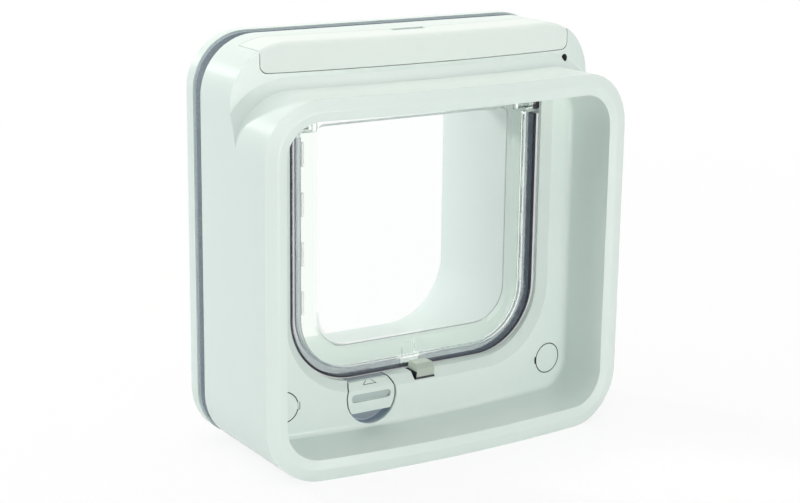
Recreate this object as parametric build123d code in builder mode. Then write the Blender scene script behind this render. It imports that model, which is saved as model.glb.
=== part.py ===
from build123d import *
import math
import os

# Cat flap for a door. Millimetres, +X to the right, +Y through the door, +Z up.
# The origin lies under the middle of the whole part. Depths count back from the crest of the front rim.

# Outline
width = 210.0
housing_height = 209.5
ledge_rise = 22.0
frame_over = 0.5
housing_corner = 29.5
hood_corner = 28.5
frame_corner = 28.0

# Depths
face_depth = 32.6
ledge_step = 3.0
sill_run = 11.4
housing_depth = 75.6
door_gap = 8.4
frame_thick = 10.2
tunnel_beyond = 41.4
bow = 8.6

# Walls and clearances
wall = 2.5
fit_gap = 0.3
running_gap = 0.08
seat_gap = 0.05
fine = 0.01
spare = 6.0

# Hood rim and recessed face
rim_width = 10.5
rim_solid = 4.5
rim_outer_band = 5.6
rim_outer_fall = 1.3
rim_inner_band = 4.3
rim_inner_fall = 1.4
hood_draft = 2.0
face_fillet = 2.4
ledge_cove = 5.0

# Opening in the face and the collar behind it
opening_side = 30.4
opening_low = 35.5
opening_head = 1.2
opening_corner = 36.0
opening_flare = 4.5
collar_wall = 2.0
collar_gap = 0.5

# Tunnel
tunnel_step = 0.9
threshold_drop = 0.5
ramp_drop = 6.5
ramp_run = 8.0

# Flap and its hinge
hinge_drop = 5.0
hinge_set = 3.0
barrel_radius = 4.0
barrel_inset = 1.1
barrel_length = 12.0
panel_over = 3.0
flap_side_gap = 3.1
flap_sill_gap = 1.1
border_thick = 5.0
tongue_thick = 3.0
tongue_bite = 1.2
window_thick = 2.6
window_border = 13.2
window_sill = 14.4
window_head = 2.5
window_low_corner = 20.0
window_high_corner = 5.0
window_slope = 50.0
edging_width = 4.5
edging_thick = 6.0
edging_head = 1.0
edging_break = 0.6
keeper_width = 7.0
keeper_height = 8.0
keeper_rise = 1.6
keeper_centre = -4.5
pin_radius = 1.6
pin_grip = 8.0
bush_radius = 2.8
bush_length = 5.0
bush_boss_wall = 2.0
bush_flange = 3.3
flange_thick = 1.5
seal_depth = 4.0
seal_gap = 0.5

# Rotary lock
dial_x = -32.0
dial_drop = 8.2
dial_radius = 13.8
dial_flat = 7.8
dial_sink = 1.4
dial_thick = 5.8
dial_gap = 0.5
cup_wall = 2.0
groove_length = 23.0
groove_width = 4.2
groove_depth = 1.8
mark_half = 4.2
mark_rise = 4.0
mark_line = 0.35
mark_depth = 0.25
spindle_radius = 3.0
cam_radius = 13.4
cam_thick = 3.0
cam_clearance = 0.9
cam_room = 2.1
cam_screw_radius = 1.2
cam_screw_head = 1.5
cam_screw_lap = 1.0
cam_screw_grip = 5.0

# Latch and solenoid
latch_x = 0.0
latch_width = 11.1
latch_thick = 4.6
latch_length = 17.4
latch_proud = 3.9
latch_gap = 1.5
latch_set = 1.1
latch_fall = 2.4
latch_slope = 2.0
latch_lean = 1.2
notch_extra = 0.6
notch_drop = 4.0
guide_wall = 2.4
guide_length = 9.0
solenoid_width = 16.0
solenoid_run = 9.2
solenoid_base = 1.0
solenoid_plate = 1.8
solenoid_gap = 4.4
plunger_radius = 2.5
plunger_length = 14.0

# Battery cover, tray and cells
cover_side = 15.0
cover_skirt = 14.5
cover_run = 21.0
cover_wall = 2.2
cover_gap = 0.35
cover_corner = 4.0
cover_round = 2.6
thumb_length = 20.0
thumb_radius = 9.0
thumb_sink = 1.4
cell_radius = 7.2
cell_length = 49.2
nub_radius = 2.7
nub_length = 1.2
cell_gap = 0.25
contact_thick = 0.6
contact_size = 9.0
tray_wall = 1.2
tray_gap = 0.7
tray_height = 20.5

# Reader electronics
board_set = 14.4
board_rise = 5.0
board_thick = 1.6
board_edge = 9.0
board_tray_gap = 4.3
board_tube_gap = 1.0
board_head_gap = 6.5
board_hole_inset = 3.0
board_post_radius = 2.8
board_screw_radius = 1.0
board_screw_head = 2.0
board_screw_head_thick = 1.2
board_screw_grip = 6.0
chip_size = 8.0
chip_inset = 2.0
chip_height = 1.8
button_inset = 4.0
button_radius = 3.2
button_cap = 2.6
button_stem_radius = 1.4
button_stroke = 0.8
switch_size = 7.0
switch_height = 3.2
lens_side = 1.4
lens_drop = 4.6
lens_radius = 1.7
coil_run = 6.0
coil_build = 3.6

# Fasteners
clamp_side = 24.0
clamp_low = 28.5
clamp_top = 11.0
clamp_radius = 2.0
clamp_head_radius = 3.8
clamp_head = 2.6
clamp_room = 1.0
clamp_grip = 7.6
clamp_tube = 5.6
cap_radius = 8.0
cap_thick = 1.8
pry_reach = 1.4
pry_width = 4.0
pry_depth = 1.0
joint_side = 13.0
joint_low = 42.0
joint_top = 19.5
joint_screw_radius = 1.5
joint_screw_head = 3.0
joint_screw_head_thick = 1.6
joint_screw_grip = 12.0
joint_boss_radius = 3.6

# Clamp frame on the far side
frame_lip = 4.0
frame_skin = 2.6
frame_round = 4.0
frame_rib = 1.8
frame_rib_pitch = 45.0
frame_boss_radius = 4.4
foam_thick = 1.5
foam_inset = 1.0
foam_width = 6.5

# Main planes that follow from the sizes
hood_height = housing_height - ledge_rise
frame_height = housing_height + frame_over
ledge_depth = face_depth + ledge_step
tunnel_front = face_depth + sill_run
collar_depth = tunnel_front - collar_gap
plate_front = housing_depth - wall
frame_front = housing_depth + door_gap
frame_back = frame_front + frame_thick
overall_depth = frame_back + tunnel_beyond
bow_radius = ((width / 2) ** 2 + bow**2) / (2 * bow)


def sag(x):
    """How far the bowed faces fall back from their crest at this x."""
    return bow_radius - math.sqrt(bow_radius**2 - x**2)


# Room inside the hood
recess_back = face_depth + sag(width / 2)
recess_shrink = recess_back * math.tan(math.radians(hood_draft))

# Opening, tunnel and flap
opening_half = width / 2 - opening_side
opening_high = hood_height - rim_width - recess_shrink - face_fillet - opening_head
tunnel_half = opening_half + tunnel_step
tunnel_high = opening_high + tunnel_step
threshold_low = opening_low - threshold_drop
tunnel_low = threshold_low - ramp_drop
flap_half = opening_half - flap_side_gap
flap_low = opening_low + flap_sill_gap
flap_corner = opening_corner - flap_side_gap + flap_sill_gap
hinge_height = opening_high - hinge_drop
hinge_depth = tunnel_front + hinge_set
barrel_half = flap_half - barrel_inset
window_half = flap_half - window_border
window_low = flap_low + window_sill
panel_high = hinge_height + panel_over
window_high = panel_high - window_head
edging_top = hinge_height - barrel_radius - edging_head

# Lock
dial_z = opening_low - dial_drop
dial_front = face_depth + dial_sink
dial_back = dial_front + dial_thick
cup_back = dial_back + fit_gap
dial_top = dial_z + dial_flat
dial_bevel = opening_flare - (opening_low - dial_top) - (dial_sink - sag(dial_x))
cam_front = hinge_depth + edging_thick / 2 + cam_clearance
cam_back = cam_front + cam_thick
cam_span = cam_radius + dial_flat
threshold_depth = cam_back + cam_room + wall
threshold_back = threshold_depth + ramp_run

# Latch
latch_back = hinge_depth - edging_thick / 2 - latch_gap
latch_depth = latch_back - latch_thick / 2
latch_front = face_depth + latch_set
latch_high = opening_low + latch_proud
latch_low = latch_high - latch_length
latch_slot = latch_width + 2 * fit_gap + notch_extra
latch_slot_x = latch_x - notch_extra / 2
break_left = keeper_centre - keeper_width / 2 - edging_break
break_right = latch_x + latch_width / 2 + edging_break
notch_low = opening_low - notch_drop
nose_low = notch_low + fit_gap
guide_low = opening_low - guide_length
solenoid_high = latch_low - solenoid_gap
plunger_low = latch_low - plunger_length
plunger_place = (latch_x, latch_depth - overall_depth / 2)

# Battery room
cover_half = width / 2 - cover_side
cover_low = housing_height - cover_skirt
cover_back = ledge_depth + cover_run
cell_reach = cell_length + nub_length
contact_x = cell_reach + 2 * cell_gap
tray_inner = contact_x + contact_thick
tray_half = tray_inner + tray_wall
tray_low = tunnel_high + wall
tray_front = ledge_depth + wall + sag(tray_half) + tray_gap
cell_depth = tray_front + tray_wall + cell_gap + cell_radius
tray_back = cell_depth + cell_radius + cell_gap + tray_wall
tray_middle = (tray_front + tray_back) / 2
cell_low = tray_low + tray_wall + cell_gap + cell_radius
cell_high = cell_low + 2 * cell_radius + cell_gap

# Fastener places
clamp_x = width / 2 - clamp_side
clamp_high = housing_height - clamp_top
clamp_seat = ledge_depth + cover_wall + sag(clamp_x + clamp_head_radius) + clamp_room + clamp_head
clamp_low_points = [(-clamp_x, clamp_low), (clamp_x, clamp_low)]
clamp_high_points = [(-clamp_x, clamp_high), (clamp_x, clamp_high)]
clamp_points = clamp_low_points + clamp_high_points
joint_x = width / 2 - joint_side
joint_high = hood_height - joint_top
joint_heights = (joint_low, (joint_low + joint_high) / 2, joint_high)
joint_points = [(x, z) for x in (-joint_x, joint_x) for z in joint_heights]
joint_seat = housing_depth - joint_screw_head_thick

# Board, button and lens places
board_depth = ledge_depth + board_set
board_back = board_depth + board_thick
board_left = tray_half + board_tray_gap
board_right = width / 2 - board_edge
board_low = tunnel_high + board_rise
board_high = clamp_high - clamp_tube - board_tube_gap
board_tab_right = clamp_x - clamp_tube - board_tube_gap
board_tab_high = housing_height - board_head_gap
board_screw_z = board_high - board_hole_inset
board_points = [(board_left + board_hole_inset, board_screw_z), (clamp_x - board_hole_inset, board_screw_z)]
switch_front = board_depth - switch_height
button_x = (board_left + board_tab_right) / 2
button_z = board_tab_high - button_inset
button_back = switch_front - button_stroke - fit_gap
lens_x = cover_half - lens_side
lens_z = cover_low - lens_drop
coil_depth = (tray_back + plate_front) / 2


def y_at(depth):
    """Y of a plane that lies this far behind the rim's crest."""
    return depth - overall_depth / 2


def facing(depth):
    """Sketch plane seen from the front: x to the right, y up, extrusions towards the viewer."""
    return Plane.XZ.offset(-y_at(depth))


def face_plane(x, z):
    """Plane on the bowed face, square to it, looking out at the viewer."""
    lean = math.asin(x / bow_radius)
    return Plane(
        origin=(x, y_at(face_depth + sag(x)), z),
        x_dir=(math.cos(lean), math.sin(lean), 0),
        z_dir=(math.sin(lean), -math.cos(lean), 0),
    )


def bowed_plan(crest, edge):
    """Plan between the bowed line with its crest at one depth and a straight line at the other."""
    reach = width / 2 + spare
    end = y_at(crest + sag(reach))
    with BuildSketch() as plan:
        with BuildLine():
            ThreePointArc((-reach, end), (0, y_at(crest)), (reach, end))
            Polyline((reach, end), (reach, y_at(edge)), (-reach, y_at(edge)), (-reach, end))
        make_face()
    return plan.sketch


def arch(half, low, high, low_corner, high_corner=0.0):
    """Doorway outline with large lower corners and, where asked, round upper ones."""
    with BuildSketch() as outline:
        with Locations((0, low)):
            Rectangle(2 * half, high - low, align=(Align.CENTER, Align.MIN))
        fillet(outline.vertices().group_by(Axis.Y)[0], low_corner)
        if high_corner:
            fillet(outline.vertices().group_by(Axis.Y)[-1], high_corner)
    return outline.sketch


def opening(grow):
    """Outline of the opening in the face, grown all round."""
    return arch(opening_half + grow, opening_low - grow, opening_high + grow, opening_corner + grow)


def passage(grow, low=tunnel_low):
    """Outline of the tunnel's inside, grown all round."""
    return arch(tunnel_half + grow, low - grow, tunnel_high + grow, opening_corner + grow)


def flap_outline(inset, high):
    """Outline of the flap, drawn in at its sides and bottom, up to a given height."""
    return arch(flap_half - inset, flap_low + inset, high, flap_corner - inset)


def rounded_block(across, tall, corner, inset=0.0):
    """Rounded square outline that stands on the base line, drawn in by an inset all round."""
    with Locations((0, tall / 2)):
        RectangleRounded(across - 2 * inset, tall - 2 * inset, corner - inset)


def lid_zone(grow):
    """The part of the ledge that the battery cover takes up, grown all round."""
    half = cover_half + grow
    low = cover_low - grow
    back = cover_back + grow
    with BuildPart() as zone:
        with BuildSketch(facing(back + sag(width / 2))) as outline:
            with Locations((0, low)):
                Rectangle(2 * half, housing_height, align=(Align.CENTER, Align.MIN))
            fillet(outline.vertices().group_by(Axis.Y)[0], cover_corner)
        extrude(amount=back + sag(width / 2))
        with BuildSketch(Plane.XY):
            add(bowed_plan(back, -spare))
        extrude(amount=2 * housing_height, mode=Mode.INTERSECT)
    return zone.part


def save(builder, name):
    """Label a finished piece and write its file."""
    builder.part.label = name
    export_step(builder.part, f"parts/{name}.step")


os.makedirs("parts", exist_ok=True)

# Solid forms that the housing and its cover are cut from
with BuildPart() as hood_form:
    with BuildSketch(facing(housing_depth)):
        rounded_block(width, hood_height, hood_corner)
    extrude(amount=housing_depth + spare)
    with BuildSketch(Plane.XY):
        add(bowed_plan(0, housing_depth + spare))
    extrude(amount=housing_height, mode=Mode.INTERSECT)
    hood_front = hood_form.faces().sort_by(Axis.Y)[0]
    chamfer(hood_front.outer_wire().edges(), rim_outer_band, rim_outer_fall, reference=hood_front)

with BuildPart() as ledge_form:
    with BuildSketch(facing(housing_depth)):
        rounded_block(width, housing_height, housing_corner)
    extrude(amount=housing_depth)
    with BuildSketch(Plane.XY):
        add(bowed_plan(ledge_depth, housing_depth + spare))
    extrude(amount=housing_height + spare, mode=Mode.INTERSECT)

# The room inside the hood, with a drafted wall and the bowed face at its back
with BuildPart() as recess:
    with BuildSketch(facing(recess_back)):
        rounded_block(width, hood_height, hood_corner, rim_width + recess_shrink)
    extrude(amount=recess_back + spare, taper=-hood_draft)
    with BuildSketch(Plane.XY):
        add(bowed_plan(face_depth, -2 * spare))
    extrude(amount=housing_height, mode=Mode.INTERSECT)
    fillet(recess.faces().sort_by(Axis.Y)[-1].edges(), face_fillet)

with BuildPart() as recess_skin:
    with BuildSketch(facing(recess_back + wall)):
        rounded_block(width, hood_height, hood_corner, rim_width + recess_shrink - wall)
    extrude(amount=recess_back + wall + spare, taper=-hood_draft)
    with BuildSketch(Plane.XY):
        add(bowed_plan(face_depth + wall, -2 * spare))
    extrude(amount=housing_height, mode=Mode.INTERSECT)

# The hollow of the housing, with the collar, cup, guide, tubes and posts left standing in it
with BuildPart() as hood_hollow:
    with BuildSketch(facing(housing_depth)):
        rounded_block(width, hood_height, hood_corner, wall)
    extrude(amount=housing_depth)
    with BuildSketch(Plane.XY):
        add(bowed_plan(rim_solid, housing_depth + spare))
    extrude(amount=housing_height, mode=Mode.INTERSECT)

with BuildPart() as hollow:
    with BuildSketch(facing(housing_depth)):
        rounded_block(width, housing_height, housing_corner, wall)
    extrude(amount=housing_depth)
    with BuildSketch(Plane.XY):
        add(bowed_plan(ledge_depth + wall, housing_depth + spare))
    extrude(amount=housing_height, mode=Mode.INTERSECT)
    add(hood_hollow.part)
    add(recess_skin.part, mode=Mode.SUBTRACT)
    with BuildSketch(facing(collar_depth)):
        add(opening(collar_wall))
    extrude(amount=collar_depth - face_depth, mode=Mode.SUBTRACT)
    with BuildSketch(facing(cup_back + cup_wall)):
        with Locations((dial_x, dial_z)):
            Circle(dial_radius + dial_gap + cup_wall)
    extrude(amount=cup_back + cup_wall - face_depth, mode=Mode.SUBTRACT)
    with BuildSketch(facing(collar_depth)):
        with Locations((latch_slot_x, guide_low)):
            Rectangle(latch_slot + 2 * guide_wall, opening_low - guide_low, align=(Align.CENTER, Align.MIN))
    extrude(amount=collar_depth - face_depth, mode=Mode.SUBTRACT)
    with BuildSketch(facing(plate_front)):
        with Locations(*clamp_low_points):
            Circle(clamp_tube)
        with Locations(*joint_points):
            Circle(joint_boss_radius)
    extrude(amount=plate_front - face_depth, mode=Mode.SUBTRACT)
    with BuildSketch(facing(board_depth)):
        with Locations(*board_points):
            Circle(board_post_radius)
    extrude(amount=board_depth - face_depth, mode=Mode.SUBTRACT)

# Front housing
with BuildPart() as front_housing:
    add(hood_form.part)
    add(ledge_form.part)
    hood_top = front_housing.edges().filter_by(GeomType.CIRCLE)
    hood_top = hood_top.filter_by_position(Axis.Z, hood_height - fine, hood_height + fine)
    chamfer(hood_top.sort_by(Axis.Y)[-1], ledge_cove)
    add(recess.part, mode=Mode.SUBTRACT)
    rim = front_housing.faces().sort_by(Axis.Y)[0]
    chamfer(rim.inner_wires()[0].edges(), rim_inner_band, rim_inner_fall, reference=rim)
    add(hollow.part, mode=Mode.SUBTRACT)
    with BuildSketch(facing(collar_depth)):
        add(opening(0))
    extrude(amount=collar_depth, mode=Mode.SUBTRACT)
    face_plate = front_housing.faces().sort_by_distance((0, y_at(face_depth), opening_low / 2))[0]
    opening_edges = face_plate.inner_wires()[0].edges()
    chamfer(opening_edges.filter_by(lambda edge: edge.center().Z < opening_high - fine), opening_flare)
    # Cup for the lock dial
    with BuildSketch(facing(cup_back)):
        with Locations((dial_x, dial_z)):
            Circle(dial_radius + dial_gap)
    extrude(amount=cup_back - face_depth, mode=Mode.SUBTRACT)
    with BuildSketch(facing(cup_back + cup_wall)):
        with Locations((dial_x, dial_z)):
            Circle(spindle_radius + running_gap)
    extrude(amount=cup_wall, mode=Mode.SUBTRACT)
    # Slot for the latch and a notch in the flare for its nose
    with BuildSketch(facing(latch_back + fit_gap)):
        with Locations((latch_slot_x, opening_low)):
            Rectangle(latch_slot, 2 * (opening_low - guide_low + spare))
    extrude(amount=latch_thick + 2 * fit_gap, mode=Mode.SUBTRACT)
    with BuildSketch(facing(latch_back)):
        with Locations((latch_slot_x, notch_low)):
            Rectangle(latch_slot, opening_low - notch_low + spare, align=(Align.CENTER, Align.MIN))
    extrude(amount=latch_back - latch_front + fit_gap, mode=Mode.SUBTRACT)
    # Holes for the lower clamp screws, with a pocket for each cap and a pry notch towards the middle
    with BuildSketch(facing(clamp_seat)):
        with Locations(*clamp_low_points):
            Circle(clamp_head_radius + fit_gap)
    extrude(amount=clamp_seat - face_depth, mode=Mode.SUBTRACT)
    with BuildSketch(facing(plate_front)):
        with Locations(*clamp_low_points):
            Circle(clamp_radius + fit_gap)
    extrude(amount=plate_front - clamp_seat, mode=Mode.SUBTRACT)
    for x, z in clamp_low_points:
        with BuildSketch(face_plane(x, z)):
            Circle(cap_radius + fit_gap / 2)
        extrude(amount=-cap_thick, mode=Mode.SUBTRACT)
        with BuildSketch(face_plane(x, z)):
            with Locations((-math.copysign(cap_radius, x), 0)):
                Rectangle(2 * pry_reach, pry_width)
        extrude(amount=-pry_depth, mode=Mode.SUBTRACT)
    # Pilot holes and the window for the lens
    with BuildSketch(facing(plate_front)):
        with Locations(*joint_points):
            Circle(joint_screw_radius + seat_gap)
    extrude(amount=joint_screw_grip + spare, mode=Mode.SUBTRACT)
    with BuildSketch(facing(board_depth)):
        with Locations(*board_points):
            Circle(board_screw_radius + seat_gap)
    extrude(amount=board_screw_grip + fit_gap, mode=Mode.SUBTRACT)
    with BuildSketch(facing(board_depth)):
        with Locations((lens_x, lens_z)):
            Circle(lens_radius + running_gap)
    extrude(amount=board_depth - face_depth, mode=Mode.SUBTRACT)
    add(lid_zone(cover_gap), mode=Mode.SUBTRACT)
save(front_housing, "front_housing")

# Screw caps, flush with the bowed face
with BuildPart() as screw_covers:
    for x, z in clamp_low_points:
        with BuildSketch(face_plane(x, z)):
            Circle(cap_radius)
        extrude(amount=-cap_thick)
save(screw_covers, "screw_covers")

# Tunnel with the housing's back plate, a raised threshold under the flap and a ramp behind it
with BuildPart() as tunnel:
    with BuildSketch(facing(housing_depth)):
        rounded_block(width, housing_height, housing_corner, wall + fit_gap)
    extrude(amount=wall)
    with BuildSketch(facing(plate_front)):
        with Locations(*clamp_high_points):
            Circle(clamp_tube)
    extrude(amount=plate_front - clamp_seat)
    with BuildSketch(facing(overall_depth)):
        add(passage(wall))
    extrude(amount=overall_depth - tunnel_front)
    with BuildSketch(facing(overall_depth)):
        add(passage(0))
    extrude(amount=overall_depth - threshold_back, mode=Mode.SUBTRACT)
    with BuildSketch(facing(threshold_back)):
        add(passage(0))
    with BuildSketch(facing(threshold_depth)):
        add(passage(0, threshold_low))
    loft(mode=Mode.SUBTRACT)
    with BuildSketch(facing(threshold_depth)):
        add(passage(0, threshold_low))
    extrude(amount=threshold_depth - tunnel_front, mode=Mode.SUBTRACT)
    # The threshold is cored from below and slotted for the lock's cam and spindle
    with BuildSketch(facing(threshold_depth - wall)):
        with Locations((0, threshold_low - wall)):
            Rectangle(2 * (tunnel_half - opening_corner), opening_low, align=(Align.CENTER, Align.MAX))
    extrude(amount=threshold_depth - tunnel_front - 2 * wall, mode=Mode.SUBTRACT)
    with BuildSketch(facing(cam_back + fit_gap)):
        with Locations((dial_x, dial_z)):
            Circle(cam_radius + dial_gap)
    extrude(amount=cam_thick + 2 * fit_gap, mode=Mode.SUBTRACT)
    with BuildSketch(facing(threshold_depth - wall)):
        with Locations((dial_x, dial_z)):
            Circle(spindle_radius + fit_gap)
    extrude(amount=threshold_depth - wall - tunnel_front, mode=Mode.SUBTRACT)
    # Bosses for the hinge bushes
    for side in (-1, 1):
        with BuildSketch(Plane.YZ.offset(side * (tunnel_half + wall))):
            with Locations((y_at(hinge_depth), hinge_height)):
                Circle(bush_radius + bush_boss_wall)
        extrude(amount=side * (bush_length - wall))
        with BuildSketch(Plane.YZ.offset(side * (tunnel_half - seat_gap))):
            with Locations((y_at(hinge_depth), hinge_height)):
                Circle(bush_radius + seat_gap)
        extrude(amount=side * (bush_length + 2 * seat_gap), mode=Mode.SUBTRACT)
    # Screw holes
    with BuildSketch(facing(housing_depth)):
        with Locations(*clamp_points):
            Circle(clamp_radius + fit_gap)
        with Locations(*joint_points):
            Circle(joint_screw_radius + fit_gap)
    extrude(amount=housing_depth - clamp_seat, mode=Mode.SUBTRACT)
    with BuildSketch(facing(housing_depth)):
        with Locations(*joint_points):
            Circle(joint_screw_head + fit_gap)
    extrude(amount=joint_screw_head_thick, mode=Mode.SUBTRACT)
save(tunnel, "tunnel")

# Clear flap: border, edge tongue, a hinge barrel at each end, thinner window and the keeper for the latch
with BuildPart() as flap_panel:
    with BuildSketch(facing(hinge_depth + border_thick / 2)):
        add(flap_outline(edging_width + seat_gap, panel_high))
    extrude(amount=border_thick)
    with BuildSketch(facing(hinge_depth + tongue_thick / 2)):
        add(flap_outline(edging_width - tongue_bite, edging_top))
    extrude(amount=tongue_thick)
    for side in (-1, 1):
        with BuildSketch(Plane.YZ.offset(side * barrel_half)):
            with Locations((y_at(hinge_depth), hinge_height)):
                Circle(barrel_radius)
        extrude(amount=-side * barrel_length)
    for face_y, inward in ((hinge_depth - border_thick / 2, -1), (hinge_depth + border_thick / 2, 1)):
        with BuildSketch(facing(face_y)):
            add(arch(window_half, window_low, window_high, window_low_corner, window_high_corner))
        extrude(amount=inward * (border_thick - window_thick) / 2, taper=window_slope, mode=Mode.SUBTRACT)
    with BuildSketch(facing(hinge_depth - border_thick / 2)):
        with Locations((keeper_centre, flap_low + edging_width + seat_gap)):
            Rectangle(keeper_width, keeper_height, align=(Align.CENTER, Align.MIN))
    extrude(amount=keeper_rise)
    for side in (-1, 1):
        with BuildSketch(Plane.YZ.offset(side * barrel_half)):
            with Locations((y_at(hinge_depth), hinge_height)):
                Circle(pin_radius + seat_gap)
        extrude(amount=-side * (pin_grip + fit_gap), mode=Mode.SUBTRACT)
save(flap_panel, "flap_panel")

# Dark edging that clips on the flap's tongue, in two lengths that leave room for the keeper and the latch
with BuildPart() as flap_edging:
    with BuildSketch(facing(hinge_depth + edging_thick / 2)):
        add(flap_outline(0, edging_top))
        add(flap_outline(edging_width, hinge_height), mode=Mode.SUBTRACT)
    extrude(amount=edging_thick)
    with BuildSketch(facing(hinge_depth + tongue_thick / 2 + seat_gap)):
        add(flap_outline(edging_width - tongue_bite - seat_gap, hinge_height))
    extrude(amount=tongue_thick + 2 * seat_gap, mode=Mode.SUBTRACT)
    with BuildSketch(facing(hinge_depth + edging_thick)):
        with Locations((break_left, flap_low)):
            Rectangle(break_right - break_left, 2 * edging_width, align=(Align.MIN, Align.CENTER))
    extrude(amount=2 * edging_thick, mode=Mode.SUBTRACT)
save(flap_edging, "flap_edging")

# Hinge pins in the flap's barrels and the flanged bushes they turn in
with BuildPart() as hinge_pins:
    for side in (-1, 1):
        with BuildSketch(Plane.YZ.offset(side * (barrel_half - pin_grip))):
            with Locations((y_at(hinge_depth), hinge_height)):
                Circle(pin_radius)
        extrude(amount=side * (tunnel_half + bush_length - barrel_half + pin_grip - fit_gap))
save(hinge_pins, "hinge_pins")

with BuildPart() as hinge_bushes:
    for side in (-1, 1):
        with BuildSketch(Plane.YZ.offset(side * tunnel_half)):
            with Locations((y_at(hinge_depth), hinge_height)):
                Circle(bush_radius)
        extrude(amount=side * bush_length)
        with BuildSketch(Plane.YZ.offset(side * tunnel_half)):
            with Locations((y_at(hinge_depth), hinge_height)):
                Circle(bush_flange)
        extrude(amount=-side * flange_thick)
        with BuildSketch(Plane.YZ.offset(side * (tunnel_half - flange_thick))):
            with Locations((y_at(hinge_depth), hinge_height)):
                Circle(pin_radius + running_gap)
        extrude(amount=side * (flange_thick + bush_length), mode=Mode.SUBTRACT)
save(hinge_bushes, "hinge_bushes")

# Seal round the sides and bottom of the opening
with BuildPart() as opening_seal:
    with BuildSketch(facing(hinge_depth + seal_depth / 2)):
        add(arch(tunnel_half - seat_gap, threshold_low + seat_gap, edging_top, opening_corner - seat_gap))
        add(flap_outline(-seal_gap, hinge_height), mode=Mode.SUBTRACT)
    extrude(amount=seal_depth)
save(opening_seal, "opening_seal")

# Rotary lock: double-D dial with a bevel that carries on the opening's flare, a pointer engraved on the bevel,
# a coin groove, the spindle, and a cam behind the flap
with BuildPart() as lock_dial:
    with BuildSketch(facing(dial_back)):
        with Locations((dial_x, dial_z)):
            Circle(dial_radius)
            Rectangle(2 * dial_radius, 2 * dial_flat, mode=Mode.INTERSECT)
    extrude(amount=dial_thick)
    top_edges = lock_dial.faces().sort_by(Axis.Z)[-1].edges().filter_by(Axis.X)
    chamfer(top_edges.sort_by(Axis.Y)[0], dial_bevel)
    bevel = lock_dial.faces().sort_by_distance((dial_x, y_at(dial_front), dial_top))[0]
    with BuildSketch(Plane(bevel.center(), x_dir=(1, 0, 0), z_dir=bevel.normal_at())):
        Polygon((-mark_half, 0), (mark_half, 0), (0, mark_rise))
        offset(amount=-mark_line, kind=Kind.INTERSECTION, mode=Mode.SUBTRACT)
    extrude(amount=-mark_depth, mode=Mode.SUBTRACT)
    with BuildSketch(facing(dial_front + groove_depth)):
        with Locations((dial_x, dial_z)):
            SlotOverall(groove_length, groove_width)
    extrude(amount=groove_depth, mode=Mode.SUBTRACT)
    with BuildSketch(facing(cam_back)):
        with Locations((dial_x, dial_z)):
            Circle(spindle_radius)
    extrude(amount=cam_back - dial_back)
    with BuildSketch(facing(cam_back)):
        with Locations((dial_x, dial_z)):
            Circle(cam_screw_radius + seat_gap)
    extrude(amount=cam_screw_grip + fit_gap, mode=Mode.SUBTRACT)
save(lock_dial, "lock_dial")

with BuildPart() as lock_cam:
    with BuildSketch(facing(cam_back)):
        with Locations((dial_x, dial_z)):
            Circle(cam_radius)
        with Locations((dial_x - dial_flat + cam_span / 2, dial_z + dial_flat - cam_span / 2)):
            Rectangle(cam_span, cam_span, mode=Mode.INTERSECT)
        with Locations((dial_x, dial_z)):
            Circle(spindle_radius + seat_gap, mode=Mode.SUBTRACT)
    extrude(amount=cam_thick)
save(lock_cam, "lock_cam")

with BuildPart() as cam_screw:
    with BuildSketch(facing(cam_back)):
        with Locations((dial_x, dial_z)):
            Circle(cam_screw_radius)
    extrude(amount=cam_screw_grip)
    with BuildSketch(facing(cam_back)):
        with Locations((dial_x, dial_z)):
            Circle(spindle_radius + cam_screw_lap)
    extrude(amount=-cam_screw_head)
save(cam_screw, "cam_screw")

# Latch in the sill with a nose in the flare, and the plunger and the solenoid that lift it
with BuildPart() as latch:
    with BuildSketch(facing(latch_back)):
        with Locations((latch_x, latch_low)):
            Rectangle(latch_width, latch_high - latch_low, align=(Align.CENTER, Align.MIN))
    extrude(amount=latch_thick)
    with BuildSketch(facing(latch_back)):
        with Locations((latch_x, nose_low)):
            Rectangle(latch_width, latch_high - nose_low, align=(Align.CENTER, Align.MIN))
    extrude(amount=latch_back - latch_front)
    top = latch.faces().sort_by(Axis.Z)[-1]
    chamfer(top.edges().sort_by(Axis.X)[0], latch_lean, latch_high - nose_low - fit_gap, reference=top)
    top = latch.faces().sort_by(Axis.Z)[-1]
    chamfer(top.edges().sort_by(Axis.Y)[0], latch_slope, latch_fall, reference=top)
save(latch, "latch")

with BuildPart() as latch_plunger:
    with BuildSketch(Plane.XY.offset(plunger_low)):
        with Locations(plunger_place):
            Circle(plunger_radius)
    extrude(amount=latch_low - plunger_low)
save(latch_plunger, "latch_plunger")

with BuildPart() as latch_solenoid:
    with BuildSketch(Plane.XY.offset(wall)):
        with Locations(plunger_place):
            Rectangle(solenoid_width, solenoid_run)
    extrude(amount=solenoid_high - wall)
    with BuildSketch(Plane.XY.offset(wall + solenoid_plate)):
        with Locations(plunger_place):
            Rectangle(solenoid_width - 2 * solenoid_plate, solenoid_run)
            Circle(solenoid_run / 2, mode=Mode.SUBTRACT)
    extrude(amount=solenoid_high - wall - 2 * solenoid_plate, mode=Mode.SUBTRACT)
    with BuildSketch(Plane.XY.offset(wall + solenoid_base)):
        with Locations(plunger_place):
            Circle(plunger_radius + running_gap)
    extrude(amount=solenoid_high, mode=Mode.SUBTRACT)
save(latch_solenoid, "latch_solenoid")

# Battery cover: a shell of the ledge's own form, with a thumb notch at the back
with BuildPart() as cover_core:
    with BuildSketch(facing(housing_depth)):
        rounded_block(width, housing_height, housing_corner, cover_wall)
    extrude(amount=housing_depth)
    with BuildSketch(Plane.XY):
        add(bowed_plan(ledge_depth + cover_wall, housing_depth + spare))
    extrude(amount=housing_height, mode=Mode.INTERSECT)

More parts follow.
